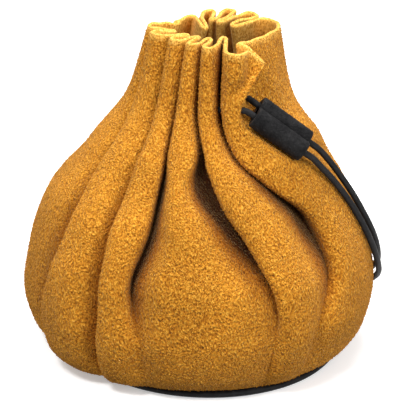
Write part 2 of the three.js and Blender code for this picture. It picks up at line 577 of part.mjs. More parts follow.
// Base
const baseGeometry = new THREE.CylinderGeometry(BASE_RADIUS, BASE_RADIUS, BASE_THICKNESS, 64, 1);
baseGeometry.rotateX(Math.PI / 2);
baseGeometry.translate(0, 0, BASE_THICKNESS / 2);

// Body: the pleated wall, with the drawcord's punched holes through its legs
const neckPoints = neckLoopPoints();
const holeCutter = toSolid(cordGeometry(neckPoints.slice(3, -3), CORD_RADIUS + HOLE_CLEARANCE, 44));
const wall = toSolid(shellGeometry(sectionSteps().map((section) => roundedRing(controlRing(section)))));
const bodyGeometry = fromSolid(wall.subtract(holeCutter));

// Knot: both ends tied together
const knotGeometry = new THREE.TorusKnotGeometry(KNOT_RADIUS, KNOT_CORD_RADIUS, 30, 6, 2, 3);
knotGeometry.translate(knotMiddle.x, knotMiddle.y, knotMiddle.z);

const group = new THREE.Group();
const suede = new THREE.MeshStandardMaterial({ color: 0xc8883a, roughness: 0.95 });
const leather = new THREE.MeshStandardMaterial({ color: 0x1d1b1a, roughness: 0.6 });
const PIECES = [
  { name: "pouch_body", geometry: bodyGeometry, material: suede },
  { name: "base_disc", geometry: baseGeometry, material: leather },
  { name: "neck_cord", geometry: cordGeometry(neckPoints, CORD_RADIUS, 72), material: leather },
  { name: "cord_slider", geometry: sliderGeometry(), material: leather },
  { name: "cord_tail_lower", geometry: cordGeometry(tailPoints(0, LOWER_TAIL, -0.7), CORD_RADIUS, 28),
    material: leather },
  { name: "cord_tail_upper", geometry: cordGeometry(tailPoints(1, UPPER_TAIL, 0.7), CORD_RADIUS, 28),
    material: leather },
  { name: "end_knot", geometry: knotGeometry, material: leather },
];
PIECES.forEach((piece) => {
  const mesh = new THREE.Mesh(piece.geometry, piece.material);
  mesh.name = piece.name;
  group.add(mesh);
});

export default group;
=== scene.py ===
# %% [markdown]
# # A gathered suede belt pouch
#
# The pouch is one piece of mustard suede, sewn to a round leather base and drawn in at the neck by a round
# black leather cord. Suede is soft but has body: where the cord pulls it in it can only fold, so the neck is
# a ring of upright pleats pressed together, and each pleat opens downward into a broad fold until the belly
# is nearly round. This script builds that one skin from a few short tables, adds its nap and its raw rim,
# and then the cord, the slider, the knot and the base.
#
# A cloth simulation could gather a flat strip by itself, but its folds fall where they like. On this pouch
# each fold has its own place, so short tables say where the folds run, and the mesh is worked out from them.
#
# Lengths are metres in Blender. The tables are in shares of named sizes, and millimetres only where named.

# %% Tools and the frame
import math

import bpy
import numpy as np
from mathutils import Matrix, Vector, noise


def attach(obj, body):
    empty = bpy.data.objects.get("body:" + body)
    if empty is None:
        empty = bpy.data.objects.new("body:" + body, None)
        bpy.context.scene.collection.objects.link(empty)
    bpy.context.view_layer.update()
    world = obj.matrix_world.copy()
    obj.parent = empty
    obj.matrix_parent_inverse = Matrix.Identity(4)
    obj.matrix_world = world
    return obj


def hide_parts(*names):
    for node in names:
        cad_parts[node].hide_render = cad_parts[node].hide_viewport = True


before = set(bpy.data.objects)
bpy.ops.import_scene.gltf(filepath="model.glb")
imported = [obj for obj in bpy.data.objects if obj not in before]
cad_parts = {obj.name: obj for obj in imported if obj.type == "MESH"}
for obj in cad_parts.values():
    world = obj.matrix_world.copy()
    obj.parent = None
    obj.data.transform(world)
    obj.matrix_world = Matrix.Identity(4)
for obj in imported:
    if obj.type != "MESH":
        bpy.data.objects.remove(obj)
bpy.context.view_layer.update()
MM = 0.001

# %% [markdown]
# ## The camera
#
# The photograph looks down at the pouch from the front with a long lens. The ellipse of the base's lower
# edge fixes the view: 22 degrees down, from about 0.67 m away, with a lens of about 155 mm, and rolled by a
# degree and a half. A constraint could aim the camera at the pouch, but a matrix keeps the fitted angles.

# %% Camera
LENS_MM, SENSOR_MM = 154.5, 36
CAMERA_PLACE = (0.00022, -0.6, 0.2966)
LOOK_DOWN, ROLL = 22.21, 1.45

camera_data = bpy.data.cameras.new("camera")
camera_data.lens = LENS_MM
camera_data.sensor_width = SENSOR_MM
camera_data.clip_start = 0.01
camera = bpy.data.objects.new("camera", camera_data)
bpy.context.collection.objects.link(camera)
camera.matrix_world = (
    Matrix.Translation(CAMERA_PLACE)
    @ Matrix.Rotation(math.radians(90 - LOOK_DOWN), 4, "X")
    @ Matrix.Rotation(math.radians(ROLL), 4, "Z")
)
bpy.context.scene.camera = camera
print("camera at", tuple(round(v, 3) for v in camera.location))

# %% [markdown]
# ## Sizes and tables
#
# A pouch like this is laid out flat first: a strip of suede some 40 cm round. What gives it its shape is how
# much of that strip each pleat takes. The tables hold the same numbers as the solid model: the outline's
# eight radii at ten heights, and for each of the eleven pleats where its crease runs, how deep it goes,
# where its crest stands, and how it leans at the neck. The folds could be sculpted by hand too, but a table
# can be read, compared with the photograph and changed one number at a time.

# %% Sizes in millimetres
BASE_RADIUS = 50.0
HEIGHT = 118.0
SUEDE = 1.4
BASE_THICKNESS = 2.6
PIECE_GAP = 0.3
FOLD_GAP = 0.42
CORD_RADIUS = 1.15
SLIDER_LENGTH = 21.0
BARREL_RADIUS = 3.75
BARREL_SPACING = 6.9
LEG_HALF_GAP = SUEDE / 2 + FOLD_GAP
HEM_HEIGHT = BASE_THICKNESS + PIECE_GAP + SUEDE / 2
print("wall", SUEDE, "base", 2 * BASE_RADIUS, "height", HEIGHT)

# %% Outline table
# name, height as a share of HEIGHT, then in shares of BASE_RADIUS: middle's east and north, and the radii to
# the right, rear right, rear, rear left, left, front left, front and front right
SECTIONS = [
    ("hem edge", 0.03, 0, 0, 0.88, 0.88, 0.88, 0.88, 0.88, 0.88, 0.88, 0.88),
    ("hem turn", 0.03, 0, 0, 1, 1, 1, 1, 1.01, 1.01, 0.98, 0.99),
    ("tuck", 0.042, 0, 0, 1.06, 1.06, 1.06, 1.1, 1.15, 1.17, 1.03, 1.05),
    ("foot", 0.093, 0, 0, 1.17, 1.16, 1.16, 1.2, 1.27, 1.27, 1.14, 1.14),
    ("low belly", 0.212, 0, 0, 1.24, 1.24, 1.22, 1.26, 1.326, 1.33, 1.22, 1.22),
    ("belly", 0.339, 0, 0.01, 1.2, 1.2, 1.2, 1.25, 1.292, 1.3, 1.22, 1.2),
    ("waist", 0.492, 0, 0.02, 1.07, 1.07, 1.07, 1.1, 1.16, 1.14, 1.08, 1.06),
    ("shoulder", 0.653, 0.01, 0.04, 0.84, 0.82, 0.83, 0.8, 0.88, 0.84, 0.84, 0.86),
    ("cord", 0.805, 0.02, 0.06, 0.55, 0.6, 0.62, 0.52, 0.624, 0.56, 0.56, 0.53),
    ("rim", 1, 0.04, 0.06, 0.37, 0.5, 0.54, 0.37, 0.51, 0.41, 0.46, 0.37),
]
# Rows of faces from each section to the next
ROWS = [3, 4, 9, 12, 11, 14, 16, 17, 19]
print(len(SECTIONS), "sections,", sum(ROWS), "rows")

# %% Pleat tables
# Heights of the seven columns of the pleat tables, as shares of HEIGHT
LEVEL = [0.186, 0.356, 0.508, 0.627, 0.712, 0.805, 1]
# pleat: crease angle in degrees, then crease depth, then crest share, each foot to rim
PLEATS = {
    "left": (
        (203, 207, 208, 204, 201, 194, 184),
        (0.11, 0.19, 0.22, 0.21, 0.19, 0.2, 0.2),
        (0.4, 0.36, 0.36, 0.4, 0.42, 0.45, 0.5)),
    "front_left": (
        (232, 231, 229, 227, 225, 219, 210),
        (0.13, 0.21, 0.22, 0.21, 0.2, 0.2, 0.19),
        (0.4, 0.38, 0.38, 0.42, 0.44, 0.47, 0.5)),
    "front_panel": (
        (248, 247, 251.5, 248.5, 243, 238, 233),
        (0.07, 0.18, 0.27, 0.27, 0.23, 0.2, 0.19),
        (0.42, 0.34, 0.28, 0.32, 0.38, 0.45, 0.5)),
    "front_ridge": (
        (295, 289, 278.5, 268.5, 263.5, 256, 252),
        (0.07, 0.13, 0.24, 0.33, 0.27, 0.21, 0.21),
        (0.4, 0.38, 0.4, 0.45, 0.5, 0.5, 0.5)),
    "corner_flap": (
        (312, 315, 309, 292, 280, 274.5, 270.5),
        (0.07, 0.15, 0.21, 0.23, 0.23, 0.23, 0.23),
        (0.56, 0.46, 0.53, 0.58, 0.57, 0.47, 1.95)),
    "right_panel": (
        (366, 368, 365, 357, 327, 303, 291),
        (0.02, 0.04, 0.06, 0.08, 0.08, 0.06, 0.04),
        (0.5, 0.5, 0.5, 0.5, 0.58, 0.69, 0.72)),
    "rear_right": (
        (420, 420, 418, 416, 414, 411, 408),
        (0.03, 0.08, 0.12, 0.15, 0.18, 0.24, 0.32),
        (0.5, 0.5, 0.5, 0.5, 0.5, 0.5, 0.5)),
    "rear_middle": (
        (447, 446, 444, 442, 439, 435, 431),
        (0.04, 0.1, 0.14, 0.17, 0.2, 0.26, 0.34),
        (0.5, 0.5, 0.5, 0.5, 0.5, 0.5, 0.5)),
    "rear_left": (
        (472, 470, 467, 463, 459, 454, 448),
        (0.04, 0.09, 0.14, 0.17, 0.2, 0.26, 0.25),
        (0.5, 0.5, 0.5, 0.5, 0.5, 0.5, 0.5)),
    "rear_roll": (
        (497, 495, 490, 485, 480, 474, 468),
        (0.05, 0.11, 0.15, 0.17, 0.19, 0.22, 0.25),
        (0.5, 0.5, 0.5, 0.5, 0.5, 0.5, 0.5)),
    "left_rear": (
        (520, 519, 517, 515, 514, 513, 513),
        (0.03, 0.08, 0.12, 0.15, 0.16, 0.15, 0.11),
        (0.5, 0.5, 0.5, 0.5, 0.55, 0.55, 0.55)),
}
print(len(PLEATS), "pleats")

# %% Neck tables
# pleat: lean at belly, waist, cord and rim in degrees, reach at throat, cord and rim, fold run before, after
NECK = {
    "left": (10, 11, 0, 0, 0, 0, 0, "leg", "leg"),
    "front_left": (8, 8, 0, 0, 0, 0, 0, "leg", "leg"),
    "front_panel": (-5, -9, 0, 0, 0, 0, 0, "leg", "leg"),
    "front_ridge": (9, 9, 2, 4, 0, 0, 0, "leg", "leg"),
    "corner_flap": (9, 12, 8, 14, 0.04, 0.09, 0.13, "flap_front", "flap_back"),
    "right_panel": (0, 0, 0, 0, 0, 0.03, 0.06, "wall", "leg"),
    "rear_right": (-4, -5, 5, 8, 0, 0, 0, "leg", "leg"),
    "rear_middle": (-5, -6, 7, 15, 0, 0, 0, "leg", "leg"),
    "rear_left": (5, 7, 9, 11, 0, 0, 0, "leg", "leg"),
    "rear_roll": (5, 7, 13, 26, 0, 0, 0, "leg", "leg"),
    "left_rear": (0, 0, 2, 4, 0, 0, 0, "leg", "leg"),
}
# Half a fold from crease to crest: across, half gaps, share of the rise, millimetres below that
FOLD_RUN = {
    "open": [(0, 0, 0, 0), (0.08, 0, 0.07, 0), (0.2, 0, 0.4, 0), (0.38, 0, 0.75, 0), (0.65, 0, 0.97, 0)],
    "leg": [(0, 0, 0, 0), (0, 1, 0, -0.45), (0, 1, 0.5, 0), (0, 1.1, 1, 2), (0.55, 0.3, 1, 0.3)],
    "flap_front": [(0, 0, 0, 0), (0, 1, 0.1, 0), (0, 1, 1.0, 0), (0, 6.8, 1.05, 0), (0, 7.6, 0.7, 0)],
    "flap_back": [
        (0, 0, 0, 0), (0.17, 0, 0.14, 0), (0.45, 0, 0.36, 0), (0.8, 0, 0.6, 0), (0.99, 0, 0.78, 0)],
    "wall": [(0, 0, 0, 0), (0.045, 0, -0.35, 0), (0.13, 0, -0.15, 0), (0.36, 0, 0.5, 0), (0.72, 0, 1, 0)],
}
# Shares of the height between which the pleats go over from open folds to pressed legs
PRESSED_FROM, PRESSED_FULL = 0.44, 0.77
# pleat: how far the near leg of the crease before it stands off, in degrees, at waist, shoulder and throat
POCKET = {"front_ridge": (3, 9, 2)}
# The turned-out flap: height share it starts at, shares it leans out and droops by, half its width in
# degrees, and how soon its own run takes the place of the leg's
FLAP_FROM, FLAP_OUT, FLAP_DROOP, FLAP_SPREAD, FLAP_TURNS = 0.847, 0.04, 0.06, 16.0, 1.8
print(len(FOLD_RUN), "runs of a fold,", len(POCKET), "pocket")

# %% [markdown]
# ## The skin as a smooth surface
#
# At each height the middle of the suede is one closed curve. Ten control points make a pleat: from the
# bottom of its crease up one leg, over the crest and down the other leg. At the neck the legs stand a fixed
# small distance apart, because they are pressed together by the cord, and lower down they spread. Beside the
# middle front crease one leg stands off, which leaves a dark pocket, and the corner flap turns outward.
#
# A rough cage with Subdivision Surface would look much the same. Here a B-spline is worked out in code,
# because it gives round folds at any number of rows, and every point knows how deep in a crease it lies.


# %% Curves through the tables' values
def curve_through(places, values):
    steps = np.diff(places)
    rises = np.diff(values) / steps
    slopes = [rises[0]]
    for i in range(1, len(places) - 1):
        if rises[i - 1] * rises[i] <= 0:
            slopes.append(0.0)
            continue
        near, far = 2 * steps[i] + steps[i - 1], steps[i] + 2 * steps[i - 1]
        slopes.append((near + far) / (near / rises[i - 1] + far / rises[i]))
    slopes.append(rises[-1])

    def value(place):
        inside = min(max(place, places[0]), places[-1])
        i = min(int(np.searchsorted(places, inside, side="left")) - 1, len(places) - 2)
        i = max(i, 0)
        t = (inside - places[i]) / steps[i]
        s = 1 - t
        return ((1 + 2 * t) * s * s * values[i] + t * s * s * steps[i] * slopes[i]
                + t * t * (3 - 2 * t) * values[i + 1] - t * t * s * steps[i] * slopes[i + 1])

    return value


places = np.arange(len(SECTIONS), dtype=float)
height_at = curve_through(places, [max(row[1] * HEIGHT, HEM_HEIGHT) for row in SECTIONS])
east_at = curve_through(places, [row[2] * BASE_RADIUS for row in SECTIONS])
north_at = curve_through(places, [row[3] * BASE_RADIUS for row in SECTIONS])
radius_at = [curve_through(places, [row[4 + k] * BASE_RADIUS for row in SECTIONS]) for k in range(8)]
levels = np.array([0.0] + LEVEL) * HEIGHT


def pleat_curve(values, unit=1.0):
    return curve_through(levels, np.array((values[0],) + tuple(values)) * unit)


names = list(PLEATS)
necks = [NECK[name] for name in names]
crease_angle = [pleat_curve(PLEATS[name][0]) for name in names]
crease_depth = [pleat_curve(PLEATS[name][1], BASE_RADIUS) for name in names]
crest_share = [pleat_curve(PLEATS[name][2]) for name in names]
fold_lean = [
    pleat_curve((0, row[0], row[1], row[1], (row[1] + row[2]) / 2, row[2], row[3])) for row in necks]
crest_reach = [pleat_curve((0, 0, 0, 0, row[4], row[5], row[6]), BASE_RADIUS) for row in necks]
pocket = [pleat_curve((0, 0) + POCKET.get(name, (0, 0, 0)) + (0, 0)) for name in names]
FLAP = names.index("corner_flap")
print("rim at", round(height_at(len(SECTIONS) - 1), 1), "mm")

# %% One fold, from its crease to its crest
SMALLEST_DEPTH = 0.01
LEAN_WIDENS = 0.02
LEAN_POWER = 1.5


def outline_radius(radii, angle):
    turn = (angle % 360) / 45
    i = int(turn) % 8
    t = turn - int(turn)
    a, b, c, d = (radii[(i + step) % 8] for step in (7, 0, 1, 2))
    return b + 0.5 * t * (c - a + t * (2 * a - 5 * b + 4 * c - d + t * (3 * (b - c) + d - a)))


def half_fold(crease, crest, depth, lean, reach, side, run, radii, pressed, stand_off=0.0, turned=1.0):
    """Points from the crease to the crest: degrees round the pouch, millimetres out from the outline."""
    half = (crest - crease) * side
    points = []
    rows = np.array(FOLD_RUN[run])
    if run == "flap_front":
        rows = np.array(FOLD_RUN["leg"]) * (1 - turned) + rows * turned
    for (a0, _, u0, _), (a1, gaps, u1, under) in zip(FOLD_RUN["open"], rows):
        open_up = -depth * (1 - u0) + reach * u0
        if run == "wall":
            up1 = -depth * (1 - u1) + reach * a1 * a1
        else:
            up1 = -depth + (depth + reach) * u1 - under
        local = outline_radius(radii, crease + side * half * a1) + up1 - SUEDE / 2
        gap = math.degrees(gaps * LEG_HALF_GAP * (1 + LEAN_WIDENS * abs(lean)) / local)
        turn = half * a0 + (half * a1 + gap - half * a0) * pressed
        turn += stand_off * (1 - turn / half) if gaps or a1 or u1 else 0
        up = open_up + (up1 - open_up) * pressed
        inner = max(0.0, -up / depth) if depth > SMALLEST_DEPTH else 0.0
        points.append((crease + side * turn + lean * inner ** LEAN_POWER, up))
    return points


print("east radius at the belly", round(outline_radius([curve(5) for curve in radius_at], 0), 1), "mm")

# %% One ring of the skin
FADE_SECTIONS = 2.2
FLAP_FULL_RISE = 0.12


def control_ring(section):
    z = height_at(section)
    share = z / HEIGHT
    radii = [curve(section) for curve in radius_at]
    ramp = min(max((share - PRESSED_FROM) / (PRESSED_FULL - PRESSED_FROM), 0), 1)
    pressed = ramp * ramp * (3 - 2 * ramp)
    fade = min(max((section - 1) / FADE_SECTIONS, 0), 1)
    count = len(names)
    angle = [curve(z) for curve in crease_angle]
    angle.append(angle[0] + 360)
    depth = [curve(z) * fade for curve in crease_depth]
    lean = [curve(z) for curve in fold_lean]
    crests = [angle[i] + (angle[i + 1] - angle[i]) * crest_share[i](z) for i in range(count)]
    flare = max((share - FLAP_FROM) / (1 - FLAP_FROM), 0)
    polar = []
    for i in range(count):
        after = (i + 1) % count
        reach = crest_reach[i](z)
        rise = half_fold(
            angle[i], crests[i], depth[i], lean[i], reach, 1, necks[i][7], radii, pressed,
            turned=min(FLAP_TURNS * flare, 1))
        fall = half_fold(
            angle[i + 1], crests[i], depth[after], lean[after], reach, -1, necks[i][8], radii, pressed,
            pocket[after](z))
        polar += rise + [(crests[i], reach)] + fall[:0:-1]
    ring = []
    for turn, up in polar:
        near = math.exp(-(((turn - crests[FLAP]) / FLAP_SPREAD) ** 2))
        turned = min(max(up, 0) / (FLAP_FULL_RISE * BASE_RADIUS), 1) * near
        radius = outline_radius(radii, turn) + up - SUEDE / 2 + FLAP_OUT * BASE_RADIUS * flare * turned
        ring.append((
            east_at(section) + radius * math.cos(math.radians(turn)),
            north_at(section) + radius * math.sin(math.radians(turn)),
            z - FLAP_DROOP * HEIGHT * flare * flare * turned,
            up,
        ))
    return np.array(ring)


def rounded(ring, per_point):
    t = (np.arange(per_point) / per_point)[None, :, None]
    before, here = np.roll(ring, 1, 0)[:, None], ring[:, None]
    after, beyond = np.roll(ring, -1, 0)[:, None], np.roll(ring, -2, 0)[:, None]
    fine = ((1 - t) ** 3 * before + (3 * t ** 3 - 6 * t ** 2 + 4) * here
            + (-3 * t ** 3 + 3 * t ** 2 + 3 * t + 1) * after + t ** 3 * beyond) / 6
    return fine.reshape(-1, ring.shape[1])


print(len(control_ring(0)), "control points to a ring")

# %% The whole middle surface
PER_POINT = 4
steps = []
for i, rows in enumerate(ROWS):
    rows = rows
    steps += [i + k / rows for k in range(rows)]
steps.append(len(SECTIONS) - 1)
skin = np.stack([rounded(control_ring(step), PER_POINT) for step in steps])
print("skin", skin.shape)

# %% [markdown]
# ## Soft dents, and the two sides of the leather
#
# Suede that is filled and handled is never quite smooth between its folds, so the middle surface gets broad
# dents of a few tenths of a millimetre, and finer ripples that run down the pleats from the cord. The rim is
# a knife cut by hand, so it waves a little. Then the surface is given its thickness, and its top edge a
# rounded lip.
#
# Displace and Solidify modifiers could do both. The points are moved in code instead, because the dents have
# to die out at the hem and where the cord presses the neck, and because the lip has its own row of points.

# %% Dents
# In millimetres: how deep, how wide and how high the broad dents and the ripples are
DENT, DENT_WIDE, DENT_HIGH = 0.85, 17, 21
RIPPLE, RIPPLE_WIDE, RIPPLE_HIGH = 0.3, 4.5, 26
# Shares of the height: where the dents begin at the hem, where the neck is tight, and how much it calms them
HEM_FROM, HEM_BAND = 0.05, 0.12
TIGHT_FROM, TIGHT_BAND, TIGHT_CALMS = 0.6, 0.2, 0.7


def skin_normals(middle):
    along = np.roll(middle, -1, 1) - np.roll(middle, 1, 1)
    up = np.gradient(middle, axis=0)
    normal = np.cross(along, up)
    return normal / np.linalg.norm(normal, axis=2, keepdims=True)


def dents(middle):
    rows, columns = middle.shape[:2]
    out = np.zeros((rows, columns))
    for j in range(rows):
        share = middle[j, 0, 2] / HEIGHT
        free = min(max((share - HEM_FROM) / HEM_BAND, 0), 1)
        tight = min(max((share - TIGHT_FROM) / TIGHT_BAND, 0), 1)
        for i in range(columns):
            x, y, z = middle[j, i]
            broad = noise.noise(Vector((x / DENT_WIDE, y / DENT_WIDE, z / DENT_HIGH)))
            ripple = noise.noise(Vector((x / RIPPLE_WIDE, y / RIPPLE_WIDE, z / RIPPLE_HIGH + 7)))
            out[j, i] = free * ((DENT * broad + RIPPLE * ripple) * (1 - TIGHT_CALMS * tight))
    return out


middle, rise = skin[:, :, :3].copy(), skin[:, :, 3]
depth_of_dents = dents(middle)
middle += skin_normals(middle) * depth_of_dents[:, :, None]
print("dents from", round(depth_of_dents.min(), 2), "to", round(depth_of_dents.max(), 2), "mm")

# %% Waving rim, wall and lip
RIM_WAVE, RIM_WAVE_WIDE, RIM_DROP = 0.9, 6, 0.2
RIM_FROM = 0.93
LIP_RISE = 0.42

wave = np.array([noise.noise(Vector((x / RIM_WAVE_WIDE, y / RIM_WAVE_WIDE, 3.1))) for x, y, _ in middle[-1]])
lift = np.clip((middle[:, :, 2] - RIM_FROM * HEIGHT) / ((1 - RIM_FROM) * HEIGHT), 0, 1)
middle[:, :, 2] += lift * (RIM_WAVE * wave[None, :] - RIM_DROP)
half_wall = skin_normals(middle) * (SUEDE / 2)
outer, inner = middle + half_wall, middle - half_wall
lip = middle[-1] + np.array([0, 0, LIP_RISE * SUEDE])
rows, columns = middle.shape[:2]
print("skin from", round(outer[:, :, 2].min(), 2), "to", round(lip[:, 2].max(), 2), "mm high")

# %% Body mesh
# Millimetres of depth that count as one in the crease mask for the painted crease shade, and height of the
# pale band under the rim
FOLD_UNIT = 12
EDGE_BAND = 2.2


def build_body():
    grid = np.arange(columns)
    after = (grid + 1) % columns
    points = np.concatenate([outer.reshape(-1, 3), inner.reshape(-1, 3), lip]) * MM
    inside = rows * columns
    faces, slots = [], []

    def strip(low, high, slot):
        faces.append(np.stack([low + grid, low + after, high + after, high + grid], 1))
        slots.extend([slot] * columns)

    for j in range(rows - 1):
        strip(j * columns, (j + 1) * columns, 0)
        strip(inside + (j + 1) * columns, inside + j * columns, 1)
    top = (rows - 1) * columns
    strip(inside, 0, 0)
    strip(top, 2 * inside, 2)
    strip(2 * inside, inside + top, 2)
    mesh = bpy.data.meshes.new("pouch_suede")
    mesh.from_pydata(points.tolist(), [], np.concatenate(faces).tolist())
    mesh.polygons.foreach_set("material_index", np.array(slots, dtype=np.int32))
    mesh.polygons.foreach_set("use_smooth", np.ones(len(slots), dtype=bool))
    fold = np.concatenate([rise.ravel(), rise.ravel(), rise[-1]]) / FOLD_UNIT
    mesh.attributes.new("fold", "FLOAT", "POINT").data.foreach_set("value", fold.astype(np.float32))
    edge = np.repeat(np.clip(1 - (HEIGHT - middle[:, :, 2].max(1)) / EDGE_BAND, 0, 1), columns)
    edge = np.concatenate([edge, edge, np.ones(columns)])
    mesh.attributes.new("edge", "FLOAT", "POINT").data.foreach_set("value", edge.astype(np.float32))
    mesh.validate()
    body = bpy.data.objects.new("pouch_suede", mesh)
    bpy.context.collection.objects.link(body)
    return body


body = build_body()
print("body", len(body.data.polygons), "faces")

# %% [markdown]
# ## Materials
#
# Suede is the napped flesh side of a hide. Its short fibres lie in all directions, so its colour breaks into
# a fine mottle: tips that catch the light are pale, and the roots between them are dark. That mottle is half
# a millimetre across, and over it lie broad patches where a hand has brushed the nap one way or the other.
# The cut edge and the inner side are paler, because the dye has not worn in there. Deep in a crease hardly
# any light comes in, so painted shade turns the colour there over into dark brown. The black leathers are
# finished: dull, slightly scuffed, with fine creases.
#
# A photograph of suede could be wrapped round the pouch. Noise in two node groups is used instead, because
# it has no seams, follows the creases by the mask on the mesh, and serves all the pale and dark places.


# %% Helpers for node trees
def node_group(name, inputs, outputs):
    group = bpy.data.node_groups.new(name, "ShaderNodeTree")
    for title, kind, default in inputs:
        socket = group.interface.new_socket(title, in_out="INPUT", socket_type=kind)
        if default is not None:
            socket.default_value = default
    for title, kind in outputs:
        group.interface.new_socket(title, in_out="OUTPUT", socket_type=kind)
    return group, group.nodes.new("NodeGroupInput"), group.nodes.new("NodeGroupOutput")


def add(tree, kind, links=None, **settings):
    node = tree.nodes.new(kind)
    for key, value in settings.items():
        setattr(node, key, value)
    for key, source in (links or {}).items():
        socket = node.inputs[key]
        if isinstance(source, bpy.types.NodeSocket):
            tree.links.new(source, socket)
        else:
            socket.default_value = source
    return node


def ramp(tree, factor, stops):
    node = add(tree, "ShaderNodeValToRGB", {"Fac": factor})
    elements = node.color_ramp.elements
    while len(elements) < len(stops):
        elements.new(0.5)
    for element, (place, color) in zip(elements, stops):
        element.position = place
        element.color = (*color, 1)
    return node.outputs["Color"]


def grey(value):
    return (value, value, value)


print("helpers for node trees are ready")

# %% Suede: colour, relief and roughness from place, crease depth and cut edge
# Noise scales per metre
FIBRE_SCALE, TUFT_SCALE, CLUMP_SCALE, PATCH_SCALE = 1750.0, 1700.0, 480.0, 42.0
WARP_SCALE, WARP_REACH = 90.0, 0.004
# Fibres and tufts are longer upward than across
FIBRE_STRETCH = 0.62
# Crease mask where the painted crease shade is darkest, and where the colour is untouched by it
CREASE_DARK, CREASE_CLEAR = -0.68, -0.24

suede_group, suede_in, suede_out = node_group(
    "suede_nap",
    [("Pale", "NodeSocketFloat", 0.0)],
    [("Color", "NodeSocketColor"), ("Height", "NodeSocketFloat"), ("Roughness", "NodeSocketFloat")],
)
place = add(suede_group, "ShaderNodeTexCoord").outputs["Object"]
fold_value = add(suede_group, "ShaderNodeAttribute", attribute_name="fold").outputs["Fac"]
edge_value = add(suede_group, "ShaderNodeAttribute", attribute_name="edge").outputs["Fac"]
bent = add(suede_group, "ShaderNodeTexNoise", {"Vector": place, "Scale": WARP_SCALE, "Detail": 2.0})
warp = add(suede_group, "ShaderNodeVectorMath", {0: bent.outputs["Color"], 1: grey(WARP_REACH)},
           operation="MULTIPLY")
moved = add(suede_group, "ShaderNodeVectorMath", {0: place, 1: warp.outputs[0]}, operation="ADD").outputs[0]
upright = add(suede_group, "ShaderNodeMapping", {"Vector": moved, "Scale": (1, 1, FIBRE_STRETCH)})
fibre_place = upright.outputs["Vector"]
fibre = add(suede_group, "ShaderNodeTexNoise",
            {"Vector": fibre_place, "Scale": FIBRE_SCALE, "Detail": 2.0, "Roughness": 0.5})
tuft = add(suede_group, "ShaderNodeTexVoronoi",
           {"Vector": fibre_place, "Scale": TUFT_SCALE, "Randomness": 1.0}, feature="SMOOTH_F1")
clump = add(suede_group, "ShaderNodeTexNoise",
            {"Vector": fibre_place, "Scale": CLUMP_SCALE, "Detail": 3.0, "Roughness": 0.6})
patch = add(suede_group, "ShaderNodeTexNoise", {"Vector": place, "Scale": PATCH_SCALE, "Detail": 3.0})
mottle = add(suede_group, "ShaderNodeMix",
             {"Factor": 0.1, "A": fibre.outputs["Fac"], "B": clump.outputs["Fac"]}, data_type="FLOAT")
nap_color = ramp(suede_group, mottle.outputs["Result"], [
    (0.30, (0.24, 0.074, 0.005)),
    (0.42, (0.46, 0.166, 0.012)),
    (0.56, (0.64, 0.268, 0.023)),
    (0.70, (0.88, 0.44, 0.06)),
])
brushed = ramp(suede_group, patch.outputs["Fac"], [(0.36, grey(0.9)), (0.64, grey(1.06))])
toned = add(suede_group, "ShaderNodeMix", {"Factor": 1.0, "A": nap_color, "B": brushed},
            data_type="RGBA", blend_type="MULTIPLY").outputs["Result"]
# Painted shade: deep in a crease the colour is multiplied down to dark brown, in place of the light that does
# not reach there
deep = add(suede_group, "ShaderNodeMapRange",
           {"Value": fold_value, "From Min": CREASE_DARK, "From Max": CREASE_CLEAR,
            "To Min": 0.0, "To Max": 1.0})
painted_crease_shade = ramp(suede_group, deep.outputs["Result"], [
    (0.0, (0.07, 0.026, 0.012)), (0.5, (0.55, 0.42, 0.32)), (1.0, grey(1.0))])
shaded = add(suede_group, "ShaderNodeMix", {"Factor": 1.0, "A": toned, "B": painted_crease_shade},
             data_type="RGBA", blend_type="MULTIPLY").outputs["Result"]
pale_share = add(suede_group, "ShaderNodeMath", {0: edge_value, 1: 0.75}, operation="MULTIPLY")
pale_total = add(suede_group, "ShaderNodeMath", {0: pale_share.outputs[0], 1: suede_in.outputs["Pale"]},
                 operation="MAXIMUM")
pale_color = ramp(suede_group, mottle.outputs["Result"], [
    (0.36, (0.52, 0.235, 0.027)), (0.5, (0.80, 0.43, 0.078)), (0.64, (0.95, 0.57, 0.14))])
final_color = add(suede_group, "ShaderNodeMix",
                  {"Factor": pale_total.outputs[0], "A": shaded, "B": pale_color}, data_type="RGBA")
height_mix = add(suede_group, "ShaderNodeMix",
                 {"Factor": 0.45, "A": fibre.outputs["Fac"], "B": tuft.outputs["Distance"]},
                 data_type="FLOAT")
height_sum = add(suede_group, "ShaderNodeMath",
                 {0: clump.outputs["Fac"], 1: 0.8, 2: height_mix.outputs["Result"]},
                 operation="MULTIPLY_ADD")
suede_group.links.new(final_color.outputs["Result"], suede_out.inputs["Color"])
suede_group.links.new(height_sum.outputs[0], suede_out.inputs["Height"])
rough = add(suede_group, "ShaderNodeMapRange",
            {"Value": fibre.outputs["Fac"], "To Min": 0.86, "To Max": 1.0})
suede_group.links.new(rough.outputs["Result"], suede_out.inputs["Roughness"])
print("suede group", len(suede_group.nodes), "nodes")

# %% Black leather: scuffed grain, with lighter worn places
SCUFF_SCALE = 240.0
leather_group, leather_in, leather_out = node_group(
    "black_leather",
    [("Grain", "NodeSocketFloat", 700.0), ("Wear", "NodeSocketFloat", 0.5)],
    [("Color", "NodeSocketColor"), ("Height", "NodeSocketFloat"), ("Roughness", "NodeSocketFloat")],
)
spot = add(leather_group, "ShaderNodeTexCoord").outputs["Object"]
grain = add(leather_group, "ShaderNodeTexNoise",
            {"Vector": spot, "Scale": leather_in.outputs["Grain"], "Detail": 6.0, "Roughness": 0.62})
wrinkle = add(leather_group, "ShaderNodeTexVoronoi",
              {"Vector": spot, "Scale": leather_in.outputs["Grain"]}, feature="DISTANCE_TO_EDGE")
scuff = add(leather_group, "ShaderNodeTexNoise", {"Vector": spot, "Scale": SCUFF_SCALE, "Detail": 5.0})
scuffed = ramp(leather_group, scuff.outputs["Fac"], [(0.4, grey(0.0)), (0.72, grey(1.0))])
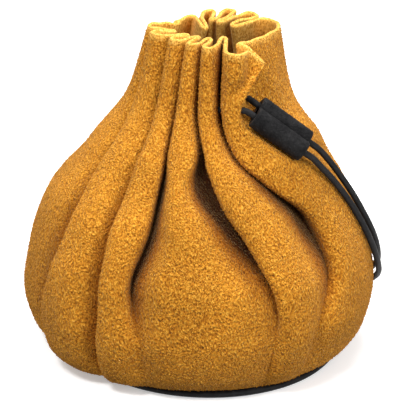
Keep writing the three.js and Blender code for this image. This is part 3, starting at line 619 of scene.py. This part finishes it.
worn = add(leather_group, "ShaderNodeMath",
           {0: scuffed, 1: leather_in.outputs["Wear"]}, operation="MULTIPLY")
leather_dark = ramp(leather_group, grain.outputs["Fac"], [
    (0.35, (0.003, 0.003, 0.0032)), (0.6, (0.010, 0.0095, 0.010)), (0.75, (0.035, 0.034, 0.035))])
leather_mix = add(leather_group, "ShaderNodeMix",
                  {"Factor": worn.outputs[0], "A": leather_dark, "B": (0.03, 0.029, 0.029, 1)},
                  data_type="RGBA")
leather_height = add(leather_group, "ShaderNodeMath",
                     {0: wrinkle.outputs["Distance"], 1: 0.8, 2: grain.outputs["Fac"]},
                     operation="MULTIPLY_ADD")
leather_rough = add(leather_group, "ShaderNodeMapRange",
                    {"Value": grain.outputs["Fac"], "To Min": 0.42, "To Max": 0.8})
leather_group.links.new(leather_mix.outputs["Result"], leather_out.inputs["Color"])
leather_group.links.new(leather_height.outputs[0], leather_out.inputs["Height"])
leather_group.links.new(leather_rough.outputs["Result"], leather_out.inputs["Roughness"])
print("leather group", len(leather_group.nodes), "nodes")

# %% Materials: bump strength, bump depth in metres, sheen, gloss
SHEEN_ROUGHNESS = 0.45
SUEDE_TINT = (1.0, 0.66, 0.30, 1)


def material(name, group, values, bump, depth, sheen=0.0, specular=0.15, sheen_tint=(1, 1, 1, 1)):
    made = bpy.data.materials.new(name)
    made.use_nodes = True
    tree = made.node_tree
    shader = tree.nodes["Principled BSDF"]
    source = add(tree, "ShaderNodeGroup", {}, node_tree=group)
    for key, value in values.items():
        source.inputs[key].default_value = value
    relief = add(tree, "ShaderNodeBump",
                 {"Height": source.outputs["Height"], "Strength": bump, "Distance": depth})
    tree.links.new(source.outputs["Color"], shader.inputs["Base Color"])
    tree.links.new(source.outputs["Roughness"], shader.inputs["Roughness"])
    tree.links.new(relief.outputs["Normal"], shader.inputs["Normal"])
    shader.inputs["Sheen Weight"].default_value = sheen
    shader.inputs["Sheen Roughness"].default_value = SHEEN_ROUGHNESS
    shader.inputs["Sheen Tint"].default_value = sheen_tint
    shader.inputs["Specular IOR Level"].default_value = specular
    return made


suede_out_side = material("suede", suede_group, {"Pale": 0.0}, 1.0, 0.0017, 0.2, 0.08, SUEDE_TINT)
suede_in_side = material("suede_inside", suede_group, {"Pale": 0.55}, 0.7, 0.0006, 0.25, 0.12, SUEDE_TINT)
suede_tuft = material("suede_tufts", suede_group, {"Pale": 0.12}, 0.0, 0.0002, 0.3, 0.1, SUEDE_TINT)
suede_cut = material("suede_cut_edge", suede_group, {"Pale": 0.95}, 0.7, 0.0006, 0.3, 0.12, SUEDE_TINT)
slider_leather = material(
    "slider_leather", leather_group, {"Grain": 900.0, "Wear": 0.5}, 0.9, 0.0004, 0.0, 0.07)
cut_leather = material(
    "cut_leather", leather_group, {"Grain": 1200.0, "Wear": 1.0}, 0.8, 0.0003, 0.0, 0.1)
base_leather = material("base_leather", leather_group, {"Grain": 600.0, "Wear": 0.35}, 0.5, 0.0003)
cord_leather = material("cord_leather", leather_group, {"Grain": 1500.0, "Wear": 0.3}, 0.4, 0.0002)
for coat in (suede_out_side, suede_in_side, suede_cut):
    body.data.materials.append(coat)
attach(body, "root")
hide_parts("pouch_body")
print("materials", len(bpy.data.materials))

# %% [markdown]
# ## The nap
#
# The fibres of a rough suede stand off the skin in small tufts, about one to the square millimetre here. They
# catch the light one by one and make the pouch's outline furry. Each tuft is a tiny three-sided cone, set on
# the skin's outer side, turned at random and bent over by up to half a right angle.
#
# Hair curves would give finer fibres, but they are lost when the model is exported. Geometry nodes scatter
# the cones, and the result is made a plain mesh.

# %% The nap's tree
TUFT_SMALLEST, TUFT_LARGEST = 0.55, 1.15
PLACE_SEED, TILT_SEED, SIZE_SEED = 4, 2, 3

nap_tree = bpy.data.node_groups.new("nap", "GeometryNodeTree")
nap_tree.interface.new_socket("Skin", in_out="INPUT", socket_type="NodeSocketGeometry")
nap_sizes = {
    title: nap_tree.interface.new_socket(title, in_out="INPUT", socket_type="NodeSocketFloat").identifier
    for title in ("Density", "Tuft Height", "Tuft Radius", "Tilt")}
nap_tree.interface.new_socket("Tufts", in_out="OUTPUT", socket_type="NodeSocketGeometry")
nap_in = nap_tree.nodes.new("NodeGroupInput")
nap_out = nap_tree.nodes.new("NodeGroupOutput")
outer_faces = add(nap_tree, "GeometryNodeMaterialSelection", {"Material": suede_out_side})
scatter = add(nap_tree, "GeometryNodeDistributePointsOnFaces", {
    "Mesh": nap_in.outputs["Skin"], "Selection": outer_faces.outputs[0],
    "Density": nap_in.outputs["Density"], "Seed": PLACE_SEED}, distribute_method="RANDOM")
tuft_cone = add(nap_tree, "GeometryNodeMeshCone", {
    "Vertices": 3, "Radius Top": 0.0, "Radius Bottom": nap_in.outputs["Tuft Radius"],
    "Depth": nap_in.outputs["Tuft Height"]}, fill_type="NONE")
most_tilt = add(nap_tree, "ShaderNodeCombineXYZ", {
    "X": nap_in.outputs["Tilt"], "Y": nap_in.outputs["Tilt"], "Z": math.pi})
least_tilt = add(nap_tree, "ShaderNodeVectorMath", {
    0: most_tilt.outputs[0], "Scale": -1.0}, operation="SCALE")
tilt = add(nap_tree, "FunctionNodeRandomValue", {
    0: least_tilt.outputs[0], 1: most_tilt.outputs[0], "Seed": TILT_SEED}, data_type="FLOAT_VECTOR")
turned_tuft = add(nap_tree, "FunctionNodeRotateEuler", {
    "Rotation": scatter.outputs["Rotation"], "Rotate By": tilt.outputs[0]}, space="LOCAL")
tuft_size = add(nap_tree, "FunctionNodeRandomValue", {
    2: TUFT_SMALLEST, 3: TUFT_LARGEST, "Seed": SIZE_SEED}, data_type="FLOAT")
tufts = add(nap_tree, "GeometryNodeInstanceOnPoints", {
    "Points": scatter.outputs["Points"], "Instance": tuft_cone.outputs["Mesh"],
    "Rotation": turned_tuft.outputs[0], "Scale": tuft_size.outputs[1]})
made_real = add(nap_tree, "GeometryNodeRealizeInstances", {"Geometry": tufts.outputs[0]})
coated = add(nap_tree, "GeometryNodeSetMaterial", {"Geometry": made_real.outputs[0], "Material": suede_tuft})
nap_tree.links.new(coated.outputs[0], nap_out.inputs[0])
print("nap tree", len(nap_tree.nodes), "nodes")

# %% The nap as a plain mesh
# Tufts to the square metre, tilt in radians, and sizes in millimetres
TUFTS_PER_M2 = 1.0e6
TUFT_HEIGHT, TUFT_RADIUS, TUFT_TILT = 0.42, 0.2, 0.75

carrier = bpy.data.objects.new("nap_carrier", body.data)
bpy.context.collection.objects.link(carrier)
modifier = carrier.modifiers.new("nap", "NODES")
modifier.node_group = nap_tree
modifier[nap_sizes["Density"]] = TUFTS_PER_M2
modifier[nap_sizes["Tuft Height"]] = TUFT_HEIGHT * MM
modifier[nap_sizes["Tuft Radius"]] = TUFT_RADIUS * MM
modifier[nap_sizes["Tilt"]] = TUFT_TILT
bpy.context.view_layer.update()
nap_mesh = bpy.data.meshes.new_from_object(carrier.evaluated_get(bpy.context.evaluated_depsgraph_get()))
bpy.data.objects.remove(carrier)
nap = bpy.data.objects.new("suede_nap", nap_mesh)
bpy.context.collection.objects.link(nap)
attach(nap, "root")
print("nap", len(nap_mesh.polygons), "faces")

# %% [markdown]
# ## The cord's route
#
# A drawcord is threaded through punched holes in every leg of every pleat, so when it is pulled, the pleats
# stack up along it. Both ends come out at the front corner, go through the slider, and hang. The route is
# the solid model's own: rows of an angle, a height and a distance from the outline.
#
# A cord could be simulated as a chain. It is drawn through listed points instead, because the
# photograph shows where it lies, and a few rounds of smoothing take out the small kinks between them.

# %% Route tables
# angle in degrees, height as a share of HEIGHT, distance from the outline as a share of BASE_RADIUS
NECK_LOOP = [
    (291, 0.831, 0.083), (286, 0.827, 0.025), (280.5, 0.818, -0.06), (275, 0.81, -0.12), (266, 0.803, -0.15),
    (247, 0.797, -0.15), (229, 0.797, -0.15), (207, 0.797, -0.15), (172, 0.797, -0.12),
    (134, 0.797, -0.11), (104, 0.797, -0.16), (85, 0.797, -0.17), (63, 0.797, -0.16), (30, 0.8, -0.13),
    (-5, 0.803, -0.13), (-23, 0.808, -0.124), (-40, 0.819, -0.136), (-53, 0.833, -0.15),
    (-63, 0.847, -0.125), (-66.2, 0.858, -0.072), (-64.3, 0.8575, -0.026),
]
# Front barrel's upper and lower end and the rear barrel's middle: east, north and height as shares
SLIDER = [(0.306, -0.525, 0.816), (0.649, -0.543, 0.714), (0.509, -0.404, 0.779)]
# The same as for the neck, with the distance in cord radii
LOWER_TAIL = [
    (322.4, 0.688, 4.52), (325.5, 0.663, 3.39), (330.6, 0.628, 2.35), (336.3, 0.577, 1.74),
    (340.4, 0.526, 1.61), (343.7, 0.467, 1.61), (346.5, 0.401, 1.61), (350.5, 0.332, 1.61),
    (357, 0.265, 1.61), (366, 0.2, 1.7), (376, 0.135, 2), (384, 0.06, 2.61),
]
UPPER_TAIL = [
    (330.8, 0.699, 4.04), (333.1, 0.674, 3.61), (336.6, 0.639, 2.96), (341.2, 0.589, 2.35),
    (345.9, 0.529, 2), (349.5, 0.463, 1.91), (353.3, 0.392, 1.91), (359, 0.315, 1.91),
    (367, 0.245, 1.91), (376, 0.18, 2.17), (383, 0.12, 3.3), (387, 0.065, 5.6),
]
KNOT_ANGLE, KNOT_DISTANCE, KNOT_RADIUS, KNOT_CORD_RADIUS = 400, 1.3, 2.9, 1.05
# Millimetres before the knot's middle that the tails pass, their sideways step in knot radii, and the gap
# under them
TAIL_STOPS = [11.5, 6.6]
TAIL_STEP = 0.7
FLOOR_GAP = 0.25
print(len(NECK_LOOP), "points round the neck")

# %% Places on the outline and in the slider
section_at = curve_through([height_at(i) for i in range(1, len(SECTIONS))], list(range(1, len(SECTIONS))))


def outline_point(angle, share, lift):
    section = section_at(share * HEIGHT)
    radius = outline_radius([curve(section) for curve in radius_at], angle) + lift
    turn = math.radians(angle)
    return Vector((east_at(section) + radius * math.cos(turn), north_at(section) + radius * math.sin(turn),
                   share * HEIGHT))


def slider_frame():
    upper, lower, rear = (Vector((e * BASE_RADIUS, n * BASE_RADIUS, h * HEIGHT)) for e, n, h in SLIDER)
    along = (lower - upper).normalized()
    centre = (upper + lower) / 2
    across = rear - centre
    across = (across - along * across.dot(along)).normalized()
    return along, across, centre


along, across, centre = slider_frame()


def barrel_point(barrel, distance):
    return centre + across * (barrel * BARREL_SPACING) + along * distance


print("slider's axis", tuple(round(v, 2) for v in along))

# %% Smooth routes and round cords
RELAX_ROUNDS = 14
BEVEL_STEPS = 4


def catmull(points, per_span):
    points = [2 * points[0] - points[1]] + list(points) + [2 * points[-1] - points[-2]]
    out = []
    for a, b, c, d in zip(points, points[1:], points[2:], points[3:]):
        t0, t1 = 0.0, (b - a).length ** 0.5
        t2 = t1 + (c - b).length ** 0.5
        t3 = t2 + (d - c).length ** 0.5
        for k in range(per_span):
            t = t1 + (t2 - t1) * k / per_span
            p = (a * (t1 - t) + b * (t - t0)) / (t1 - t0)
            q = (b * (t2 - t) + c * (t - t1)) / (t2 - t1)
            r = (c * (t3 - t) + d * (t - t2)) / (t3 - t2)
            s = (p * (t2 - t) + q * (t - t0)) / (t2 - t0)
            w = (q * (t3 - t) + r * (t - t1)) / (t3 - t1)
            out.append((s * (t2 - t) + w * (t - t1)) / (t2 - t1))
    return out + [points[-2]]


def relaxed(route):
    for _ in range(RELAX_ROUNDS):
        route = ([route[0]]
                 + [(a + 2 * b + c) / 4 for a, b, c in zip(route, route[1:], route[2:])]
                 + [route[-1]])
    for point in route:
        point.z = max(point.z, CORD_RADIUS + FLOOR_GAP / 2)
    return route


def cord_piece(name, points):
    data = bpy.data.curves.new(name, "CURVE")
    data.dimensions = "3D"
    data.bevel_depth = CORD_RADIUS * MM
    data.bevel_resolution = BEVEL_STEPS
    data.use_fill_caps = True
    spline = data.splines.new("POLY")
    spline.points.add(len(points) - 1)
    for point, place in zip(spline.points, points):
        point.co = (*(place * MM), 1)
    spline.use_smooth = True
    piece = bpy.data.objects.new(name, data)
    bpy.context.collection.objects.link(piece)
    data.materials.append(cord_leather)
    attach(piece, "root")
    return piece


def length_of(points):
    return sum((b - a).length for a, b in zip(points, points[1:])) * MM


print("cords are smoothed", RELAX_ROUNDS, "times")

# %% Cord round the neck
# Millimetres that the cord runs straight past a barrel's end, and inside it before it turns up
STRAIGHT_PAST, STRAIGHT_INSIDE = 1, 4
NECK_STEPS = 8

half_slider = SLIDER_LENGTH / 2
stops = [half_slider - STRAIGHT_PAST, 0, STRAIGHT_INSIDE - half_slider,
         -half_slider, -half_slider - STRAIGHT_PAST]
neck_points = ([barrel_point(0, stop) for stop in stops]
               + [outline_point(angle, share, inset * BASE_RADIUS) for angle, share, inset in NECK_LOOP]
               + [barrel_point(1, stop) for stop in reversed(stops)])
neck_route = relaxed(catmull(neck_points, NECK_STEPS))
neck_cord = cord_piece("drawcord_loop", neck_route)
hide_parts("neck_cord")
print("neck cord", round(length_of(neck_route), 4), "m")

# %% Free ends
TAIL_STEPS = 9


def tail_route(barrel, rows, side):
    start = [barrel_point(barrel, half_slider - STRAIGHT_PAST + PIECE_GAP),
             barrel_point(barrel, half_slider + STRAIGHT_PAST)]
    flank = [outline_point(angle, share, lift * CORD_RADIUS) for angle, share, lift in rows]
    distance = KNOT_DISTANCE * BASE_RADIUS + side * KNOT_RADIUS
    near = []
    for back in TAIL_STOPS:
        turn = math.radians(KNOT_ANGLE) - back / distance
        near.append(Vector((distance * math.cos(turn), distance * math.sin(turn), CORD_RADIUS + FLOOR_GAP)))
    return relaxed(catmull(start + flank + near, TAIL_STEPS))


lower_route = tail_route(0, LOWER_TAIL, -TAIL_STEP)
upper_route = tail_route(1, UPPER_TAIL, TAIL_STEP)
lower_tail = cord_piece("drawcord_end_lower", lower_route)
upper_tail = cord_piece("drawcord_end_upper", upper_route)
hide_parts("cord_tail_lower")
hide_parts("cord_tail_upper")
print("tails", round(length_of(lower_route), 4), round(length_of(upper_route), 4))

# %% [markdown]
# ## The knot
#
# Both ends are tied together in one overhand knot, the plainest stopper there is. An overhand knot's centre
# line is a trefoil. Both cords run into it, and their two short ends stick out past it.
#
# Blender has a ready-made torus knot. A formula and a swept circle are used here, because the entering cords
# and the cut ends belong to the same piece.

# %% Swept circles and plain meshes
SWEEP_SIDES = 12


def sweep(route, radius):
    sides = SWEEP_SIDES
    points, faces = [], []
    direction = (route[1] - route[0]).normalized()
    side = direction.orthogonal().normalized()
    for i, place in enumerate(route):
        ahead = route[min(i + 1, len(route) - 1)] - route[max(i - 1, 0)]
        direction = ahead.normalized()
        side = (side - direction * side.dot(direction)).normalized()
        up = direction.cross(side)
        for k in range(sides):
            turn = 2 * math.pi * k / sides
            points.append((place + (side * math.cos(turn) + up * math.sin(turn)) * radius) * MM)
    for i in range(len(route) - 1):
        for k in range(sides):
            after = (k + 1) % sides
            faces.append((i * sides + k, i * sides + after, (i + 1) * sides + after, (i + 1) * sides + k))
    faces.append(tuple(range(sides))[::-1])
    last = (len(route) - 1) * sides
    faces.append(tuple(last + k for k in range(sides)))
    return points, faces


def mesh_piece(name, parts, coat):
    points, faces = [], []
    for more_points, more_faces in parts:
        start = len(points)
        points += more_points
        faces += [tuple(start + k for k in face) for face in more_faces]
    data = bpy.data.meshes.new(name)
    data.from_pydata([tuple(p) for p in points], [], faces)
    data.polygons.foreach_set("use_smooth", np.ones(len(faces), dtype=bool))
    data.materials.append(coat)
    piece = bpy.data.objects.new(name, data)
    bpy.context.collection.objects.link(piece)
    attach(piece, "root")
    return piece


print("a swept circle has", SWEEP_SIDES, "sides")

# %% Overhand knot
KNOT_TIGHT = 0.8
KNOT_STEPS = 96
# Millimetres past the knot's middle, to its side and down: where a cord enters, and where its end is hidden
ENTRY = (-3.2, 1.2, 0.5)
HIDDEN = (-1.5, 0.9, 0.0)
# The same for the short ends: they spread and sink a little as they go
STUB_LENGTHS = (2, 4, 6, 8)
STUB_SIDE, STUB_SPREAD = 1.2, 0.16
STUB_DOWN, STUB_SINK = 0.8, 0.05
ENTRY_STEPS, STUB_STEPS = 6, 5

knot_turn = math.radians(KNOT_ANGLE)
knot_centre = Vector((KNOT_DISTANCE * BASE_RADIUS * math.cos(knot_turn),
                      KNOT_DISTANCE * BASE_RADIUS * math.sin(knot_turn),
                      KNOT_RADIUS / 2 + KNOT_CORD_RADIUS))
forward = Vector((-math.sin(knot_turn), math.cos(knot_turn), 0))
outward = Vector((math.cos(knot_turn), math.sin(knot_turn), 0))


def at_knot(ahead, aside, down):
    return knot_centre + forward * ahead + outward * aside - Vector((0, 0, down))


def trefoil(t):
    size = KNOT_TIGHT * KNOT_RADIUS / 2
    reach = size * (2 + math.cos(3 * t))
    return at_knot(math.cos(2 * t) * reach, math.sin(2 * t) * reach, -size * math.sin(3 * t))


knot_loop = [trefoil(2 * math.pi * k / KNOT_STEPS) for k in range(KNOT_STEPS + 1)]
knot_parts = [sweep(knot_loop, CORD_RADIUS)]
for route, side in ((lower_route, -1), (upper_route, 1)):
    end, ahead = route[-1], (route[-1] - route[-2]).normalized()
    mouth, hidden = (at_knot(past, side * aside, down) for past, aside, down in (ENTRY, HIDDEN))
    entering = catmull([end - ahead, end, end + ahead, mouth, hidden], ENTRY_STEPS)
    knot_parts.append(sweep(entering, CORD_RADIUS * 0.99))
for side in (-1, 1):
    stub = [at_knot(past, side * (STUB_SIDE + STUB_SPREAD * past), STUB_DOWN + STUB_SINK * past)
            for past in STUB_LENGTHS]
    knot_parts.append(sweep(catmull(stub, STUB_STEPS), CORD_RADIUS * 0.95))
end_knot = mesh_piece("end_knot_leather", knot_parts, cord_leather)
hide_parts("end_knot")
print("knot at", tuple(round(v, 1) for v in knot_centre))

# %% [markdown]
# ## The slider
#
# A slider is a strip of leather wrapped into two tubes side by side and glued along the groove between
# them. It grips both cords by friction and is pushed up to close the pouch. Its edges are cut, so their
# corners are slightly rounded and show a greyer core.
#
# Two cylinders joined by a Boolean would give the same outline. One ring of points is swept along the slider
# here, because the groove stays clean and the ring can shrink at both ends.

# %% Slider mesh
BARREL_SIDES = 40
# Millimetres from an end face, and millimetres that the outline is drawn in there
CUT_CORNER = [(0.0, 0.55), (0.15, 0.2), (0.55, 0.0)]
# Faces along the slider, and depth and pace of its uneven surface
LONG_STEPS, UNEVEN, UNEVEN_PACE = 24, 0.05, 1.9
MOUTH_RADIUS, MOUTH_DEPTH = CORD_RADIUS + 0.35, 2.0
CUT_BAND = 0.2
slider_out = along.cross(across)


def barrel_turns(barrel):
    meet = math.acos(BARREL_SPACING / 2 / BARREL_RADIUS)
    begin = meet + barrel * math.pi
    return [begin + (2 * math.pi - 2 * meet) * (k + 0.5) / BARREL_SIDES for k in range(BARREL_SIDES)]


def barrel_ring(barrel, radius, distance):
    middle_point = barrel_point(barrel, distance)
    return [(middle_point + (across * math.cos(turn) + slider_out * math.sin(turn)) * radius) * MM
            for turn in barrel_turns(barrel)]


def build_slider():
    corner = CUT_CORNER[-1][0]
    between_corners = SLIDER_LENGTH - 2 * corner
    profile = [(distance - half_slider, shrink) for distance, shrink in CUT_CORNER]
    for k in range(1, LONG_STEPS):
        distance = corner - half_slider + between_corners * k / LONG_STEPS
        profile.append((distance, UNEVEN * math.sin(k * UNEVEN_PACE)))
    profile += [(half_slider - distance, shrink) for distance, shrink in reversed(CUT_CORNER)]
    points, faces = [], []
    for distance, shrink in profile:
        for barrel in (0, 1):
            points += barrel_ring(barrel, BARREL_RADIUS - shrink, distance)
    count = 2 * BARREL_SIDES
    for j in range(len(profile) - 1):
        for k in range(count):
            after = (k + 1) % count
            faces.append((j * count + k, j * count + after, (j + 1) * count + after, (j + 1) * count + k))
    for j, distance, sign in ((0, -half_slider, 1), (len(profile) - 1, half_slider, -1)):
        for barrel in (0, 1):
            first, start = j * count + barrel * BARREL_SIDES, len(points)
            points += barrel_ring(barrel, MOUTH_RADIUS, distance)
            points += barrel_ring(barrel, MOUTH_RADIUS, distance + sign * MOUTH_DEPTH)
            for k in range(BARREL_SIDES):
                after = (k + 1) % BARREL_SIDES
                if k < BARREL_SIDES - 1:
                    faces.append((first + k, start + k, start + after, first + after))
                deep = start + BARREL_SIDES
                faces.append((start + k, deep + k, deep + after, start + after))
    return points, faces


slider = mesh_piece("slider_leather", [build_slider()], slider_leather)
slider.data.materials.append(cut_leather)
for face in slider.data.polygons:
    if abs((face.center / MM - centre).dot(along)) > half_slider - CUT_BAND:
        face.material_index = 1
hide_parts("cord_slider")
print("slider", len(slider.data.polygons), "faces")

# %% [markdown]
# ## The base
#
# The base is a disc of thick black leather. The suede's hem is turned in under the belly and glued and sewn
# to the disc, so from outside only the disc's rounded black edge shows under the folds.
#
# A cylinder with a bevel would nearly do. A turned profile is used, because the edge of a pressed disc is
# rounder above the floor than on it.

# %% Base
SPOKES = 160
# Shares of the radius and of the thickness, from the lower face's edge to the upper one's
BASE_PROFILE = [(0.955, 0), (0.985, 0.12), (1, 0.45), (0.998, 0.75), (0.985, 0.93), (0.955, 1)]

base_points, base_faces = [], []
for share, level in BASE_PROFILE:
    for k in range(SPOKES):
        turn = 2 * math.pi * k / SPOKES
        radius = share * BASE_RADIUS
        base_points.append(Vector((radius * math.cos(turn), radius * math.sin(turn),
                                   level * BASE_THICKNESS)) * MM)
top_ring = (len(BASE_PROFILE) - 1) * SPOKES
for first in range(0, top_ring, SPOKES):
    for k in range(SPOKES):
        after = (k + 1) % SPOKES
        base_faces.append((first + k, first + after, first + SPOKES + after, first + SPOKES + k))
base_faces.append(tuple(range(SPOKES))[::-1])
base_faces.append(tuple(top_ring + k for k in range(SPOKES)))
base = mesh_piece("base_leather", [(base_points, base_faces)], base_leather)
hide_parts("base_disc")
print("base", len(base_faces), "faces")

# %% [markdown]
# ## Light and floor
#
# The photograph is a product shot on white: a soft light from the upper left front, a broader one from the
# right front, one from above and behind, and a white floor that runs into a white background. The sky is
# darker near the horizon, so that the black leather stays black, and the floor throws no light on the pouch.
#
# One picture of a studio could light it all. Three lamps are used, because each can be set by itself.

# %% Lamps
# name, place in metres, height looked at, size in metres, power in watts
LAMPS = [
    ("key", (-0.32, -0.5, 0.78), 0.05, 0.25, 6.1),
    ("fill", (0.5, -0.55, 0.5), 0.06, 0.6, 4.9),
    ("top", (0.1, 0.2, 0.8), 0.05, 0.4, 6.0),
]


def area_light(name, place, look_height, size, power):
    data = bpy.data.lights.new(name, "AREA")
    data.shape = "DISK"
    data.size = size
    data.energy = power
    light = bpy.data.objects.new(name, data)
    light.location = place
    light.rotation_euler = (Vector((0, 0, look_height)) - Vector(place)).to_track_quat("-Z", "Y").to_euler()
    bpy.context.collection.objects.link(light)


for lamp in LAMPS:
    area_light(*lamp)
print(len(LAMPS), "lamps")

# %% Floor
FLOOR_HALF = 3
FLOOR_GREY, FLOOR_ROUGHNESS, FLOOR_GLOW = 0.9, 0.8, 0.35

floor_data = bpy.data.meshes.new("floor")
corners = [(x * FLOOR_HALF, y * FLOOR_HALF, 0) for x, y in ((-1, -1), (1, -1), (1, 1), (-1, 1))]
floor_data.from_pydata(corners, [], [(0, 1, 2, 3)])
floor = bpy.data.objects.new("floor", floor_data)
bpy.context.collection.objects.link(floor)
floor_coat = bpy.data.materials.new("floor")
floor_coat.use_nodes = True
floor_shader = floor_coat.node_tree.nodes["Principled BSDF"]
floor_shader.inputs["Base Color"].default_value = (*grey(FLOOR_GREY), 1)
floor_shader.inputs["Roughness"].default_value = FLOOR_ROUGHNESS
floor_shader.inputs["Emission Color"].default_value = (1, 1, 1, 1)
floor_shader.inputs["Emission Strength"].default_value = FLOOR_GLOW
floor_data.materials.append(floor_coat)
floor.visible_diffuse = False
print("floor", 2 * FLOOR_HALF, "m wide")

# %% Sky
SKY_STRENGTH = 0.6

world = bpy.data.worlds.new("studio")
world.use_nodes = True
sky = world.node_tree
way = add(sky, "ShaderNodeTexCoord").outputs["Generated"]
height_of_way = add(sky, "ShaderNodeSeparateXYZ", {0: way}).outputs["Z"]
sky_shade = ramp(sky, height_of_way, [(0.0, grey(0.5)), (0.3, grey(0.6)), (1.0, grey(1.0))])
sky.links.new(sky_shade, sky.nodes["Background"].inputs["Color"])
sky.nodes["Background"].inputs["Strength"].default_value = SKY_STRENGTH
bpy.context.scene.world = world
bpy.context.scene.view_settings.view_transform = "Standard"
print("sky", len(sky.nodes), "nodes")
